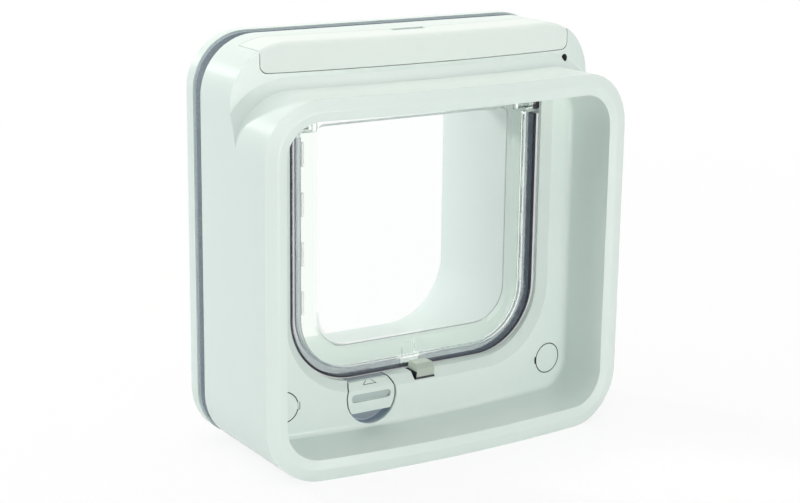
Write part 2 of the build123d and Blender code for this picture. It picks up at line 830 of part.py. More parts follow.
with BuildPart() as battery_cover:
    add(lid_zone(0))
    add(ledge_form.part, mode=Mode.INTERSECT)
    crown = battery_cover.edges().filter_by(GeomType.CIRCLE)
    crown = crown.filter_by_position(Axis.Z, housing_height - fine, housing_height + fine)
    fillet(crown.sort_by(Axis.Y)[0], cover_round)
    add(cover_core.part, mode=Mode.SUBTRACT)
    with BuildSketch(Plane.YZ):
        with Locations((y_at(cover_back), housing_height + thumb_radius - thumb_sink)):
            Circle(thumb_radius)
    extrude(amount=thumb_length / 2, both=True, mode=Mode.SUBTRACT)
save(battery_cover, "battery_cover")

# Battery tray on the tunnel's roof, two layers of two cells, and their end contacts
cell_places = [(y_at(cell_depth), cell_low), (y_at(cell_depth), cell_high)]
with BuildPart() as battery_tray:
    with BuildSketch(Plane.XY.offset(tray_low)):
        with Locations((0, y_at(tray_middle))):
            Rectangle(2 * tray_half, tray_back - tray_front)
    extrude(amount=tray_height)
    with BuildSketch(Plane.XY.offset(tray_low + tray_wall)):
        with Locations((0, y_at(tray_middle))):
            Rectangle(2 * tray_inner, tray_back - tray_front - 2 * tray_wall)
    extrude(amount=tray_height, mode=Mode.SUBTRACT)
save(battery_tray, "battery_tray")

with BuildPart() as battery_cells:
    for start in (-cell_reach - cell_gap, cell_gap):
        with BuildSketch(Plane.YZ.offset(start)):
            with Locations(*cell_places):
                Circle(cell_radius)
        extrude(amount=cell_length)
        with BuildSketch(Plane.YZ.offset(start + cell_length)):
            with Locations(*cell_places):
                Circle(nub_radius)
        extrude(amount=nub_length)
save(battery_cells, "battery_cells")

with BuildPart() as battery_contacts:
    for side in (-1, 1):
        with BuildSketch(Plane.YZ.offset(side * contact_x)):
            with Locations(*cell_places):
                Rectangle(contact_size, contact_size)
        extrude(amount=side * contact_thick)
save(battery_contacts, "battery_contacts")

# Circuit board on two posts, its parts, the learn button and the light window
with BuildPart() as control_board:
    with BuildSketch(facing(board_back)):
        with Locations((board_left, board_low)):
            Rectangle(board_right - board_left, board_high - board_low, align=(Align.MIN, Align.MIN))
            Rectangle(board_tab_right - board_left, board_tab_high - board_low, align=(Align.MIN, Align.MIN))
        with Locations(*board_points):
            Circle(board_screw_radius + fit_gap, mode=Mode.SUBTRACT)
    extrude(amount=board_thick)
save(control_board, "control_board")

with BuildPart() as board_chips:
    with BuildSketch(facing(board_back)):
        with Locations((board_right - chip_inset, board_low + chip_inset)):
            Rectangle(chip_size, chip_size, align=(Align.MAX, Align.MIN))
        with Locations((board_left + chip_inset, board_low + chip_inset)):
            Rectangle(chip_size, chip_size / 2, align=(Align.MIN, Align.MIN))
    extrude(amount=-chip_height)
    with BuildSketch(facing(board_depth)):
        with Locations((button_x, button_z)):
            Rectangle(switch_size, switch_size)
            Circle(button_stem_radius + running_gap, mode=Mode.SUBTRACT)
    extrude(amount=switch_height)
save(board_chips, "board_chips")

with BuildPart() as learn_button:
    with BuildSketch(facing(button_back)):
        with Locations((button_x, button_z)):
            Circle(button_radius)
    extrude(amount=button_cap)
    with BuildSketch(facing(board_depth - button_stroke - fit_gap)):
        with Locations((button_x, button_z)):
            Circle(button_stem_radius)
    extrude(amount=switch_height)
save(learn_button, "learn_button")

with BuildPart() as board_screws:
    with BuildSketch(facing(board_back)):
        with Locations(*board_points):
            Circle(board_screw_radius)
    extrude(amount=board_thick + board_screw_grip)
    with BuildSketch(facing(board_back)):
        with Locations(*board_points):
            Circle(board_screw_head)
    extrude(amount=-board_screw_head_thick)
save(board_screws, "board_screws")

with BuildPart() as status_lens:
    with BuildSketch(facing(board_depth - seat_gap)):
        with Locations((lens_x, lens_z)):
            Circle(lens_radius)
    extrude(amount=board_depth - seat_gap - ledge_depth - sag(lens_x))
save(status_lens, "status_lens")

# Reader winding round the tunnel
with BuildPart() as antenna_coil:
    with BuildSketch(facing(coil_depth + coil_run / 2)):
        add(passage(wall + seat_gap + coil_build))
        add(passage(wall + seat_gap), mode=Mode.SUBTRACT)
    extrude(amount=coil_run)
save(antenna_coil, "antenna_coil")

# Screws that join tunnel and housing
with BuildPart() as housing_screws:
    with BuildSketch(facing(joint_seat)):
        with Locations(*joint_points):
            Circle(joint_screw_radius)
    extrude(amount=joint_seat - plate_front + joint_screw_grip)
    with BuildSketch(facing(joint_seat)):
        with Locations(*joint_points):
            Circle(joint_screw_head)
    extrude(amount=-joint_screw_head_thick)
save(housing_screws, "housing_screws")

# Long screws that pull the clamp frame up to the door
with BuildPart() as clamp_screws:
    with BuildSketch(facing(clamp_seat)):
        with Locations(*clamp_points):
            Circle(clamp_head_radius)
    extrude(amount=clamp_head)
    with BuildSketch(facing(frame_front + clamp_grip)):
        with Locations(*clamp_points):
            Circle(clamp_radius)
    extrude(amount=frame_front + clamp_grip - clamp_seat)
save(clamp_screws, "clamp_screws")

# Clamp frame: a dished square ring with ribs and four screw bosses, open to the tunnel
with BuildPart() as rear_frame:
    with BuildSketch(facing(frame_back)):
        rounded_block(width, frame_height, frame_corner)
    extrude(amount=frame_thick)
    fillet(rear_frame.faces().sort_by(Axis.Y)[-1].edges(), frame_round)
    with BuildSketch(facing(frame_back - frame_skin)):
        rounded_block(width, frame_height, frame_corner, frame_lip)
        add(passage(wall + fit_gap + frame_lip), mode=Mode.SUBTRACT)
        for place in (-frame_rib_pitch, 0, frame_rib_pitch):
            with Locations((place, frame_height / 2)):
                Rectangle(frame_rib, frame_height, mode=Mode.SUBTRACT)
            with Locations((0, frame_height / 2 + place)):
                Rectangle(width, frame_rib, mode=Mode.SUBTRACT)
        with Locations(*clamp_points):
            Circle(frame_boss_radius, mode=Mode.SUBTRACT)
    extrude(amount=frame_thick, mode=Mode.SUBTRACT)
    with BuildSketch(facing(frame_back)):
        add(passage(wall + fit_gap))
    extrude(amount=frame_thick, mode=Mode.SUBTRACT)
    with BuildSketch(facing(frame_front + clamp_grip + fit_gap)):
        with Locations(*clamp_points):
            Circle(clamp_radius + seat_gap)
    extrude(amount=clamp_grip + fit_gap, mode=Mode.SUBTRACT)
save(rear_frame, "rear_frame")

with BuildPart() as frame_seal:
    with BuildSketch(facing(frame_front)):
        rounded_block(width, frame_height, frame_corner, foam_inset)
        with Locations((0, frame_height / 2)):
            RectangleRounded(
                width - 2 * (foam_inset + foam_width),
                frame_height - 2 * (foam_inset + foam_width),
                frame_corner - foam_inset - foam_width,
                mode=Mode.SUBTRACT,
            )
    extrude(amount=foam_thick)
save(frame_seal, "frame_seal")
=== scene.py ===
# %% [markdown]
# # A cat flap with a tag reader
# The real object is a square unit that fills a hole in a door: a hooded white moulding on the room side, a
# clear flap that hangs in a recessed face, a rotary lock and an electric latch in the sill under the flap,
# a battery room behind a cover on top, and a plain clamp frame for the far side of the door.
#
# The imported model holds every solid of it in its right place, in metres, with +X to the right, +Y through
# the door and +Z up. It could all be remodelled by hand in Blender, but then two models would have to
# agree. So this lesson keeps the solids, gives each one the finish of the real material, and adds only the
# small repeated work that solids leave out: clips, screw threads and the bristles of the seal.

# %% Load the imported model
import math

import bmesh
import bpy
from mathutils import Matrix, Vector


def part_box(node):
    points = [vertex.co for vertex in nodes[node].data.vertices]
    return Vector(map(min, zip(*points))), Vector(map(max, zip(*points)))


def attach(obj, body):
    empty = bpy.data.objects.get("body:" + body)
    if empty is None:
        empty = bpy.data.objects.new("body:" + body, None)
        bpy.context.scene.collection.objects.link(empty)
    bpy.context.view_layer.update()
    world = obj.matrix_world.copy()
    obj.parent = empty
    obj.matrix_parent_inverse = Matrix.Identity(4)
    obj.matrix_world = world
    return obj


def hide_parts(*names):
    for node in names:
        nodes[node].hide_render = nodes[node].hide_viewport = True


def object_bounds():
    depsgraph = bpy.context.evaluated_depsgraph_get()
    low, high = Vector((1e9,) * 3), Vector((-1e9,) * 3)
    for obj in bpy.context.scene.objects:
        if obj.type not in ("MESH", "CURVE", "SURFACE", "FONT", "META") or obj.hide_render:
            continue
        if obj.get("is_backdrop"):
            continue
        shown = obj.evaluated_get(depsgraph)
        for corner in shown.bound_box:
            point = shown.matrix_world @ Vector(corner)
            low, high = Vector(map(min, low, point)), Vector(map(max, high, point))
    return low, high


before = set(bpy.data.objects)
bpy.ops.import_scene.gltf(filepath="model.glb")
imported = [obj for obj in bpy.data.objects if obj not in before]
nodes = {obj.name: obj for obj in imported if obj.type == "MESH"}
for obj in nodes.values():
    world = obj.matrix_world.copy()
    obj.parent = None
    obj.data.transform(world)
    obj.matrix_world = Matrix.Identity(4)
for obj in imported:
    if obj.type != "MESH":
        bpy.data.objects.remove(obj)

MM = 0.001
cad_box = [list(corner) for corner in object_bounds()]
scene = bpy.context.scene

# %% [markdown]
# ## Small tools
# Materials and node groups are built the same way each time, so a few short helpers do it: they add a node
# and fill its inputs, open a group or a material, drop a group into a material, and turn a height map into
# relief.

# %% Helpers for node trees
def feed(tree, node, inputs):
    """Fill inputs of a node: a socket is linked, a colour gets its alpha, the rest is set as it is."""
    for key, value in inputs.items():
        target = node.inputs[key]
        if isinstance(value, bpy.types.NodeSocket):
            tree.links.new(value, target)
        elif target.type == "RGBA":
            target.default_value = (*value, 1.0)
        else:
            target.default_value = value


def add(tree, kind, inputs=None, **settings):
    """Add one node with its settings and fill its inputs."""
    node = tree.nodes.new(kind)
    for key, value in settings.items():
        setattr(node, key, value)
    feed(tree, node, inputs or {})
    return node


def open_group(kind, name, inputs, outputs):
    """Open a node group with named sockets; returns its tree, its start and its end."""
    tree = bpy.data.node_groups.new(name, kind)
    for in_out, sockets in (("INPUT", inputs), ("OUTPUT", outputs)):
        for label, holds in sockets.items():
            tree.interface.new_socket(name=label, in_out=in_out, socket_type="NodeSocket" + holds)
    return tree, tree.nodes.new("NodeGroupInput"), tree.nodes.new("NodeGroupOutput")


def new_material(name, values):
    """Open a material and set constant values on its Principled shader."""
    material = bpy.data.materials.new(name)
    material.use_nodes = True
    tree = material.node_tree
    shader = tree.nodes["Principled BSDF"]
    feed(tree, shader, values)
    return material, tree, shader


def use_group(tree, group, inputs):
    """Drop a shader group into a material and fill its inputs."""
    return add(tree, "ShaderNodeGroup", inputs, node_tree=group)


def relief(tree, height, depth, strength=1.0):
    """Raise a surface by a height map, with the depth in metres; returns the normal for the shader."""
    raised = add(tree, "ShaderNodeBump", {"Height": height, "Distance": depth, "Strength": strength})
    return raised.outputs["Normal"]


# %% [markdown]
# A finish is a pattern, and a pattern is a few sums on the place of a surface point. The next helpers give
# that place, noise on it, a mix of two colours, a range, one step of arithmetic, and masks that are 1
# where a condition holds. With the nodes written out each time, it would be hard to see what a material is
# about.

# %% Helpers for patterns and masks
# Several sockets of a Mix node have the same name, so those for colours are taken by number.
MIX_COLOURS, MIX_RESULT = (6, 7), 2


def object_place(tree):
    """The three object coordinates of a surface point, as sockets named X, Y and Z."""
    place = add(tree, "ShaderNodeTexCoord").outputs["Object"]
    return add(tree, "ShaderNodeSeparateXYZ", {"Vector": place}).outputs


def object_noise(tree, scale, detail=2.0, stretch=(1.0, 1.0, 1.0)):
    """Noise on object coordinates, stretched along the axes where asked; returns its value socket."""
    place = add(tree, "ShaderNodeTexCoord").outputs["Object"]
    squeezed = add(tree, "ShaderNodeMapping", {"Vector": place, "Scale": stretch}).outputs["Vector"]
    noise = add(tree, "ShaderNodeTexNoise", {"Vector": squeezed, "Scale": scale, "Detail": detail})
    return noise.outputs["Fac"]


def mix_colour(tree, factor, first, second):
    """Mix two colours, each a socket or a value, by a factor socket; returns the result socket."""
    colours = dict(zip(MIX_COLOURS, (first, second)))
    blend = add(tree, "ShaderNodeMix", {"Factor": factor, **colours}, data_type="RGBA")
    return blend.outputs[MIX_RESULT]


def spread(tree, value, low, high, start=0.3, stop=0.7):
    """Map a noise value onto a range; returns the result socket."""
    ends = {"From Min": start, "From Max": stop, "To Min": low, "To Max": high}
    return add(tree, "ShaderNodeMapRange", {"Value": value, **ends}).outputs["Result"]


def calculate(tree, operation, *values):
    """One step of arithmetic on sockets or numbers; returns the result socket."""
    return add(tree, "ShaderNodeMath", dict(enumerate(values)), operation=operation).outputs[0]


def hypotenuse(tree, first, second):
    """The length of the long side of a right triangle."""
    squares = (calculate(tree, "MULTIPLY", leg, leg) for leg in (first, second))
    return calculate(tree, "SQRT", calculate(tree, "ADD", *squares))


def where_all(tree, *masks):
    """A mask that is 1 where all the given masks are 1."""
    result = masks[0]
    for mask in masks[1:]:
        result = calculate(tree, "MULTIPLY", result, mask)
    return result


def between(tree, value, low, high):
    """A mask that is 1 where a value lies between two bounds."""
    above = calculate(tree, "GREATER_THAN", value, low)
    below = calculate(tree, "LESS_THAN", value, high)
    return where_all(tree, above, below)


# %% [markdown]
# ## Shared surface effects
# Injection-moulded plastic is never one flat value: the tool is finely spark-eroded, the gloss drifts
# where the melt cooled at different rates, and the colour has a faint cloud in it. One shader group makes
# those three effects for every moulding. A photograph of the plastic would tile and show seams; patterns
# on object coordinates have no seams and stay with the piece as it moves.

# %% Group for moulded plastic
CLOUD_SCALE, FLOW_SCALE, GRAIN_SCALE = 18.0, 60.0, 2600.0
FLOW_STRETCH = (1.0, 1.0, 0.35)
plastic_skin, start, end = open_group(
    "ShaderNodeTree",
    "moulded skin",
    {"Color": "Color", "Shade": "Color", "Gloss": "Float", "Drift": "Float"},
    {"Color": "Color", "Roughness": "Float", "Height": "Float"},
)
given = start.outputs
cloud = spread(plastic_skin, object_noise(plastic_skin, CLOUD_SCALE, 3.0), 0.0, 1.0)
flow = spread(plastic_skin, object_noise(plastic_skin, FLOW_SCALE, stretch=FLOW_STRETCH), -1.0, 1.0)
swing = calculate(plastic_skin, "MULTIPLY", flow, given["Drift"])
skin_looks = {
    "Color": mix_colour(plastic_skin, cloud, given["Color"], given["Shade"]),
    "Roughness": calculate(plastic_skin, "ADD", given["Gloss"], swing),
    "Height": object_noise(plastic_skin, GRAIN_SCALE),
}
feed(plastic_skin, end, skin_looks)
print("group", plastic_skin.name, "with", len(plastic_skin.nodes), "nodes")

# %% [markdown]
# Metal parts share a second group, with fine streaks along the direction in which the wire or strip was
# drawn. An anisotropic shader would bend the highlights in the same way, but it can't show the stains.

# %% Group for drawn metal
STAIN_SCALE, STREAK_SCALE = 140.0, 900.0
STREAK_STRETCH = (1.0, 0.06, 1.0)
metal_skin, start, end = open_group(
    "ShaderNodeTree",
    "drawn metal",
    {"Color": "Color", "Streak": "Color"},
    {"Color": "Color", "Roughness": "Float", "Height": "Float"},
)
given = start.outputs
streaks = object_noise(metal_skin, STREAK_SCALE, 4.0, STREAK_STRETCH)
stains = spread(metal_skin, object_noise(metal_skin, STAIN_SCALE, 3.0), 0.0, 1.0)
skin_looks = {
    "Color": mix_colour(metal_skin, stains, given["Color"], given["Streak"]),
    "Roughness": spread(metal_skin, streaks, 0.22, 0.42),
    "Height": streaks,
}
feed(metal_skin, end, skin_looks)
print("group", metal_skin.name, "with", len(metal_skin.nodes), "nodes")

# %% [markdown]
# ## Dark gaps
# Round the lock dial and the screw caps runs a fine gap, and shade in it makes it read as a dark line.
# The solids have the gaps, but they are shallow and white, so light that bounces inside makes them pale.
# One group gives a mask for a ring about an axis through the door; the materials on both sides of a gap
# take painted shade there. A thin black ring laid into the gap would look alike, but it would be a piece
# that is not there.

# %% Group for round gaps
# A ring mask that tells where painted shade goes round a gap.
round_gap, start, end = open_group(
    "ShaderNodeTree",
    "round gap",
    {"Across": "Float", "Up": "Float", "Inner": "Float", "Outer": "Float", "Front": "Float"},
    {"Mask": "Float"},
)
given = start.outputs
spot = object_place(round_gap)
aside = calculate(round_gap, "SUBTRACT", spot["X"], given["Across"])
above = calculate(round_gap, "SUBTRACT", spot["Z"], given["Up"])
ring = between(round_gap, hypotenuse(round_gap, aside, above), given["Inner"], given["Outer"])
behind = calculate(round_gap, "GREATER_THAN", spot["Y"], given["Front"])
feed(round_gap, end, {"Mask": where_all(round_gap, ring, behind)})
print("group", round_gap.name, "with", len(round_gap.nodes), "nodes")

# %% [markdown]
# ## Plastics
# The housing, caps, dial and clamp frame are one cool white with a faint green cast, and the cover is a
# little lighter and warmer. The caps come from a polished tool, the cover and the tunnel from duller ones,
# and the latch is a grey-green acetal. A plain white paint would look like card, so each keeps its own
# gloss and grain.

# %% Make the moulded plastics
PLASTIC_IOR, GLOSS_DRIFT, CLOUD_SHADE, GRAIN_STRENGTH = 1.52, 0.02, 0.985, 0.35
WHITE = (0.765, 0.85, 0.81)


def lay_skin(tree, shader, skin, depth, strength):
    """Lay the colour, gloss and relief of a shared surface effect on a material."""
    looks = {
        "Base Color": skin.outputs["Color"],
        "Roughness": skin.outputs["Roughness"],
        "Normal": relief(tree, skin.outputs["Height"], depth, strength),
    }
    feed(tree, shader, looks)


def moulding(name, colour, gloss, grain_depth):
    """A moulded plastic: its colour, its mean roughness and the depth of the tool's grain."""
    material, tree, shader = new_material(name, {"IOR": PLASTIC_IOR})
    shade = [CLOUD_SHADE * part for part in colour]
    values = {"Color": colour, "Shade": shade, "Gloss": gloss, "Drift": GLOSS_DRIFT}
    lay_skin(tree, shader, use_group(tree, plastic_skin, values), grain_depth, GRAIN_STRENGTH)
    return material


shell_white = moulding("shell white", WHITE, 0.34, 12e-6)
housing_white = moulding("housing white", WHITE, 0.34, 12e-6)
cap_white = moulding("cap white", WHITE, 0.32, 8e-6)
cover_white = moulding("cover white", (0.825, 0.885, 0.845), 0.70, 8e-6)
tunnel_white = moulding("tunnel white", (0.785, 0.85, 0.835), 0.60, 16e-6)
dial_white = moulding("dial white", (0.75, 0.84, 0.80), 0.30, 8e-6)
latch_green = moulding("latch grey green", (0.47, 0.53, 0.46), 0.38, 10e-6)
cam_grey = moulding("cam grey", (0.40, 0.42, 0.41), 0.36, 10e-6)
bush_black = moulding("bush black", (0.022, 0.022, 0.025), 0.30, 6e-6)
tray_black = moulding("tray black", (0.035, 0.036, 0.038), 0.45, 14e-6)
chip_black = moulding("chip black", (0.018, 0.018, 0.019), 0.55, 10e-6)
button_grey = moulding("button rubber", (0.30, 0.31, 0.31), 0.62, 10e-6)
print("plastics:", sum(1 for material in bpy.data.materials if material.users == 0), "waiting for a piece")

# %% [markdown]
# The gaps are found from the solids' own boxes: first the cup behind the dial's front. Its floor and the
# wall under the dial get a slate-grey painted shade, and only the narrow gap beside the dial a dark one.

# %% Paint shade into the dial's cup
# Painted shade: a dark one for narrow gaps, slate-grey ones for the cup's floor and the wall under the
# dial.
GAP_SHADE = (0.022, 0.027, 0.036)
CUP_SHADE = (0.33, 0.385, 0.43)
WALL_SHADE = (0.55, 0.62, 0.72)
DIAL_GAP, DIAL_PROUD = 0.56 * MM, 0.2 * MM


def paint_shade(material, mask, colour):
    """Mix painted shade, a dark colour, into a moulding where a mask says so."""
    tree = material.node_tree
    shader = tree.nodes["Principled BSDF"]
    beneath = shader.inputs["Base Color"].links[0].from_socket
    feed(tree, shader, {"Base Color": mix_colour(tree, mask, beneath, colour)})


def gap_mask(material, gap):
    """The mask of a round gap, placed in a material."""
    return use_group(material.node_tree, round_gap, gap).outputs["Mask"]


dial_low, dial_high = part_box("lock_dial")
dial_across = (dial_low.x + dial_high.x) / 2
dial_up = (dial_low.z + dial_high.z) / 2
dial_radius = (dial_high.x - dial_low.x) / 2
dial_cup = {
    "Across": dial_across,
    "Up": dial_up,
    "Inner": 0.0,
    "Outer": dial_radius,
    "Front": dial_low.y + DIAL_PROUD,
}
cup_wall = {**dial_cup, "Inner": dial_radius, "Outer": dial_radius + DIAL_GAP}
tree = housing_white.node_tree
spot = object_place(tree)
wall = gap_mask(housing_white, cup_wall)
beside_dial = calculate(tree, "GREATER_THAN", spot["Z"], dial_low.z)
paint_shade(housing_white, gap_mask(housing_white, dial_cup), CUP_SHADE)
paint_shade(housing_white, wall, WALL_SHADE)
paint_shade(housing_white, where_all(tree, wall, beside_dial), GAP_SHADE)
print("dark gap round a dial of", round(2 * dial_radius / MM, 1), "mm")

# %% [markdown]
# The other gaps follow in the same way, with painted shade: a line on both sides of each cap's rim, the
# hole that the light window sits in, and the slot that the latch rises through.

# %% Darken the gaps of caps, light window and latch
# The widths of the painted shade round the caps, the light window and the latch's slot.
CAP_GAP, CAP_RIM, LENS_GAP = 0.4 * MM, 0.2 * MM, 0.3 * MM
SLOT_LEFT, SLOT_FRONT, SLOT_GAP = 0.95 * MM, 0.2 * MM, 0.35 * MM
ANY_DEPTH = -1.0
cap_low, cap_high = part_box("screw_covers")
lens_low, lens_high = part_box("status_lens")
latch_low, latch_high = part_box("latch")
cap_radius = (cap_high.z - cap_low.z) / 2
for side in (-1, 1):
    pocket = {
        "Across": side * (cap_high.x - cap_radius),
        "Up": (cap_low.z + cap_high.z) / 2,
        "Inner": 0.0,
        "Outer": cap_radius + CAP_GAP,
        "Front": ANY_DEPTH,
    }
    rim = {**pocket, "Inner": cap_radius - CAP_RIM}
    paint_shade(housing_white, gap_mask(housing_white, pocket), GAP_SHADE)
    paint_shade(cap_white, gap_mask(cap_white, rim), GAP_SHADE)
lens_hole = {
    "Across": (lens_low.x + lens_high.x) / 2,
    "Up": (lens_low.z + lens_high.z) / 2,
    "Inner": 0.0,
    "Outer": (lens_high.z - lens_low.z) / 2 + LENS_GAP,
    "Front": lens_low.y - LENS_GAP,
}
paint_shade(housing_white, gap_mask(housing_white, lens_hole), GAP_SHADE)
slot = where_all(
    tree,
    between(tree, spot["X"], latch_low.x - SLOT_LEFT, latch_high.x + SLOT_GAP),
    between(tree, spot["Y"], latch_low.y - SLOT_FRONT, latch_high.y + SLOT_GAP),
    between(tree, spot["Z"], latch_low.z, latch_high.z),
)
paint_shade(housing_white, slot, GAP_SHADE)
print("dark gaps round caps of", round(2 * cap_radius / MM, 1), "mm")

# %% [markdown]
# The pointer on the dial's bevel is a fine engraved triangle, darkened by painted shade. The shade stays
# where the surface lies below the bevel, so the mask asks two things of a point: how far it is under the
# bevel's plane, and whether it is within the bevel's length.

# %% Paint shade into the engraved pointer
FLUSH, SHADE_MARGIN, SHADE_DEPTH = 0.01 * MM, 0.1 * MM, 0.8 * MM
# The dark colour of the pointer is painted shade in the engraving.
POINTER_SHADE = (0.05, 0.055, 0.06)
dial_points = [vertex.co for vertex in nodes["lock_dial"].data.vertices]
bevel_foot = max(point.z for point in dial_points if point.y < dial_low.y + FLUSH)
bevel = dial_high.z - bevel_foot
level = bevel_foot - dial_low.y
foot = bevel_foot + dial_low.y
tree = dial_white.node_tree
spot = object_place(tree)
under = calculate(tree, "SUBTRACT", spot["Z"], spot["Y"])
along = calculate(tree, "ADD", spot["Z"], spot["Y"])
painted = where_all(
    tree,
    between(tree, under, level - SHADE_DEPTH, level - SHADE_MARGIN),
    between(tree, along, foot + SHADE_MARGIN, foot + 2 * bevel - SHADE_MARGIN),
)
paint_shade(dial_white, painted, POINTER_SHADE)
print("pointer on a bevel of", round(bevel / MM, 2), "mm")

# %% [markdown]
# Painted shade darkens the coin groove of the dial. It is a mask on the dial's own coordinates, so it goes
# with the dial.

# %% Shade the coin groove
GROOVE_LENGTH, GROOVE_WIDTH = 22.6 * MM, 3.8 * MM
GROOVE_MOUTH, GROOVE_FLOOR = 0.3 * MM, 2.5 * MM
# The grey of the groove is painted shade.
GROOVE_SHADE = (0.50, 0.575, 0.565)
groove = where_all(
    tree,
    between(tree, spot["X"], dial_across - GROOVE_LENGTH / 2, dial_across + GROOVE_LENGTH / 2),
    between(tree, spot["Z"], dial_up - GROOVE_WIDTH / 2, dial_up + GROOVE_WIDTH / 2),
    between(tree, spot["Y"], dial_low.y + GROOVE_MOUTH, dial_low.y + GROOVE_FLOOR),
)
paint_shade(dial_white, groove, GROOVE_SHADE)
print("coin groove shaded over", round(GROOVE_LENGTH / MM, 1), "mm")

# %% [markdown]
# The latch takes painted shade where it sits in its slot, on the cheek that leans and under its nose. The
# lean is read from the solid's corners, so that the mask stays on the cheek all the way up.

# %% Paint shade on the latch
# The cheek and the underside of the nose get painted shade.
TOUCH, CHEEK_SKIN, NOSE_SHADE, SLOT_RIM = 0.1 * MM, 0.12 * MM, 1.1 * MM, 35.6 * MM
latch_points = [vertex.co for vertex in nodes["latch"].data.vertices]
nose_low = min(point.z for point in latch_points if point.y < latch_low.y + TOUCH)
crest_left = min(point.x for point in latch_points if point.z > latch_high.z - TOUCH)
lean = (crest_left - latch_low.x) / (latch_high.z - nose_low)
tree = latch_green.node_tree
spot = object_place(tree)
cheek_line = calculate(tree, "MULTIPLY", calculate(tree, "SUBTRACT", spot["Z"], nose_low), lean)
from_cheek = calculate(tree, "SUBTRACT", calculate(tree, "SUBTRACT", spot["X"], cheek_line), latch_low.x)
cheek = where_all(
    tree,
    calculate(tree, "LESS_THAN", from_cheek, CHEEK_SKIN),
    calculate(tree, "LESS_THAN", spot["Z"], SLOT_RIM),
)
under_nose = calculate(tree, "LESS_THAN", spot["Z"], nose_low + NOSE_SHADE)
paint_shade(latch_green, calculate(tree, "MAXIMUM", cheek, under_nose), GAP_SHADE)
print("latch dimmed below", round(SLOT_RIM / MM, 1), "mm")

# %% [markdown]
# ## Clear plastics
# The flap is a clear moulding with a faint green cast, which is stronger in its thick border than in the
# thin window. The step between the two is polished to a soft edge, which bends the light less than the
# sharp slope of the solid does. So the finish has to know how far a point lies from the window's outline.
# A second mesh for the window would do that too, but the flap is moulded in one.

# %% Measure the distance from the window's outline
BORDER_SIDE, BORDER_LOW, WINDOW_CORNER = 13.7 * MM, 14.9 * MM, 20.0 * MM
edging_low, edging_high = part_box("flap_edging")
window_half = edging_high.x - BORDER_SIDE
window_low = edging_low.z + BORDER_LOW


def window_distance(tree):
    """The distance of a point from the window's outline, below zero inside the window."""
    spot = object_place(tree)
    aside = calculate(tree, "ABSOLUTE", spot["X"])
    past_side = calculate(tree, "SUBTRACT", aside, window_half - WINDOW_CORNER)
    past_low = calculate(tree, "SUBTRACT", window_low + WINDOW_CORNER, spot["Z"])
    side, low = (calculate(tree, "MAXIMUM", past, 0.0) for past in (past_side, past_low))
    outside = hypotenuse(tree, side, low)
    inside = calculate(tree, "MINIMUM", calculate(tree, "MAXIMUM", past_side, past_low), 0.0)
    return calculate(tree, "SUBTRACT", calculate(tree, "ADD", outside, inside), WINDOW_CORNER)


print("window", round(2 * window_half / MM, 1), "mm wide")

# %% [markdown]
# Light has to reach the tunnel through the flap. A path tracer stops lamp light at glass, because it
# treats refraction as a caustic, so shadow rays pass straight through a tinted transparent shader and all
# other rays see the real refraction. The slope is made part open: what lies straight behind it shows
# through.

# %% Make the clear plastic
SLOPE_OUTSIDE = 0.1 * MM
HAZE_SCALE, HAZE_LEAST, HAZE_MOST = 45.0, 0.6, 1.4


def show_either(tree, factor, first, second):
    """Let a material show its first shader where a factor is 0 and its second where it is 1."""
    either = add(tree, "ShaderNodeMixShader", {"Fac": factor, 1: first, 2: second})
    feed(tree, tree.nodes["Material Output"], {"Surface": either.outputs["Shader"]})


def clear_plastic(name, thin_tint, thick_tint, index, roughness, shadow_tint, slope, slope_cover):
    """A clear plastic with a little haze; lamp light passes it without refraction."""
    material, tree, shader = new_material(name, {"IOR": index, "Transmission Weight": 1.0, "Metallic": 0.0})
    distance = window_distance(tree)
    window = calculate(tree, "LESS_THAN", distance, -slope / 2)
    on_slope = between(tree, distance, -slope, SLOPE_OUTSIDE)
    haze = object_noise(tree, HAZE_SCALE, 3.0)
    looks = {
        "Base Color": mix_colour(tree, window, thick_tint, thin_tint),
        "Alpha": spread(tree, on_slope, 1.0, slope_cover, 0.0, 1.0),
        "Roughness": spread(tree, haze, HAZE_LEAST * roughness, HAZE_MOST * roughness),
    }
    feed(tree, shader, looks)
    shadow_ray = add(tree, "ShaderNodeLightPath").outputs["Is Shadow Ray"]
    clear = add(tree, "ShaderNodeBsdfTransparent", {"Color": shadow_tint})
    show_either(tree, shadow_ray, shader.outputs["BSDF"], clear.outputs["BSDF"])
    return material


flap_clear = clear_plastic(
    "flap clear",
    thin_tint=(0.985, 0.996, 0.992),
    thick_tint=(0.935, 0.985, 0.94),
    index=1.25,
    roughness=0.015,
    shadow_tint=(0.95, 0.97, 0.965),
    slope=1.6 * MM,
    slope_cover=0.3,
)
print("clear plastic:", flap_clear.name)

# %% [markdown]
# The edging is a soft smoky strip, so thin that what lies behind it shows without being bent. It takes its
# look from that: dark where the brush seal is behind it, pale where the open tunnel is. So it is part
# opaque and part open instead of refracting. The clips that hold it are of the same kind, but milky.

# %% Make the smoky and the milky plastic
VEIL_IOR, VEIL_SCALE, VEIL_STRETCH = 1.45, 120.0, (1.0, 1.0, 0.2)
GLOSSIEST, DULLEST = 0.8, 1.2


def veil(name, colour, thinnest, thickest, gloss):
    """A soft plastic that lets part of what is behind it show; its cover varies with the mix."""
    material, tree, shader = new_material(name, {"Base Color": colour, "IOR": VEIL_IOR})
    streak = object_noise(tree, VEIL_SCALE, 3.0, VEIL_STRETCH)
    looks = {
        "Alpha": spread(tree, streak, thinnest, thickest),
        "Roughness": spread(tree, streak, GLOSSIEST * gloss, DULLEST * gloss),
    }
    feed(tree, shader, looks)
    return material


edging_smoke = veil("edging smoke", (0.20, 0.24, 0.30), 0.24, 0.32, 0.18)
clip_milk = veil("clip milky", (0.86, 0.91, 0.88), 0.55, 0.70, 0.22)
print("soft plastics:", edging_smoke.name, "and", clip_milk.name)

# %% [markdown]
# The light window is so dark that it reads as black. It is a smoked plastic with a slow swirl of dust, and
# it mirrors little, because it sits back in its hole. Plain black would look like a hole with nothing in
# it.

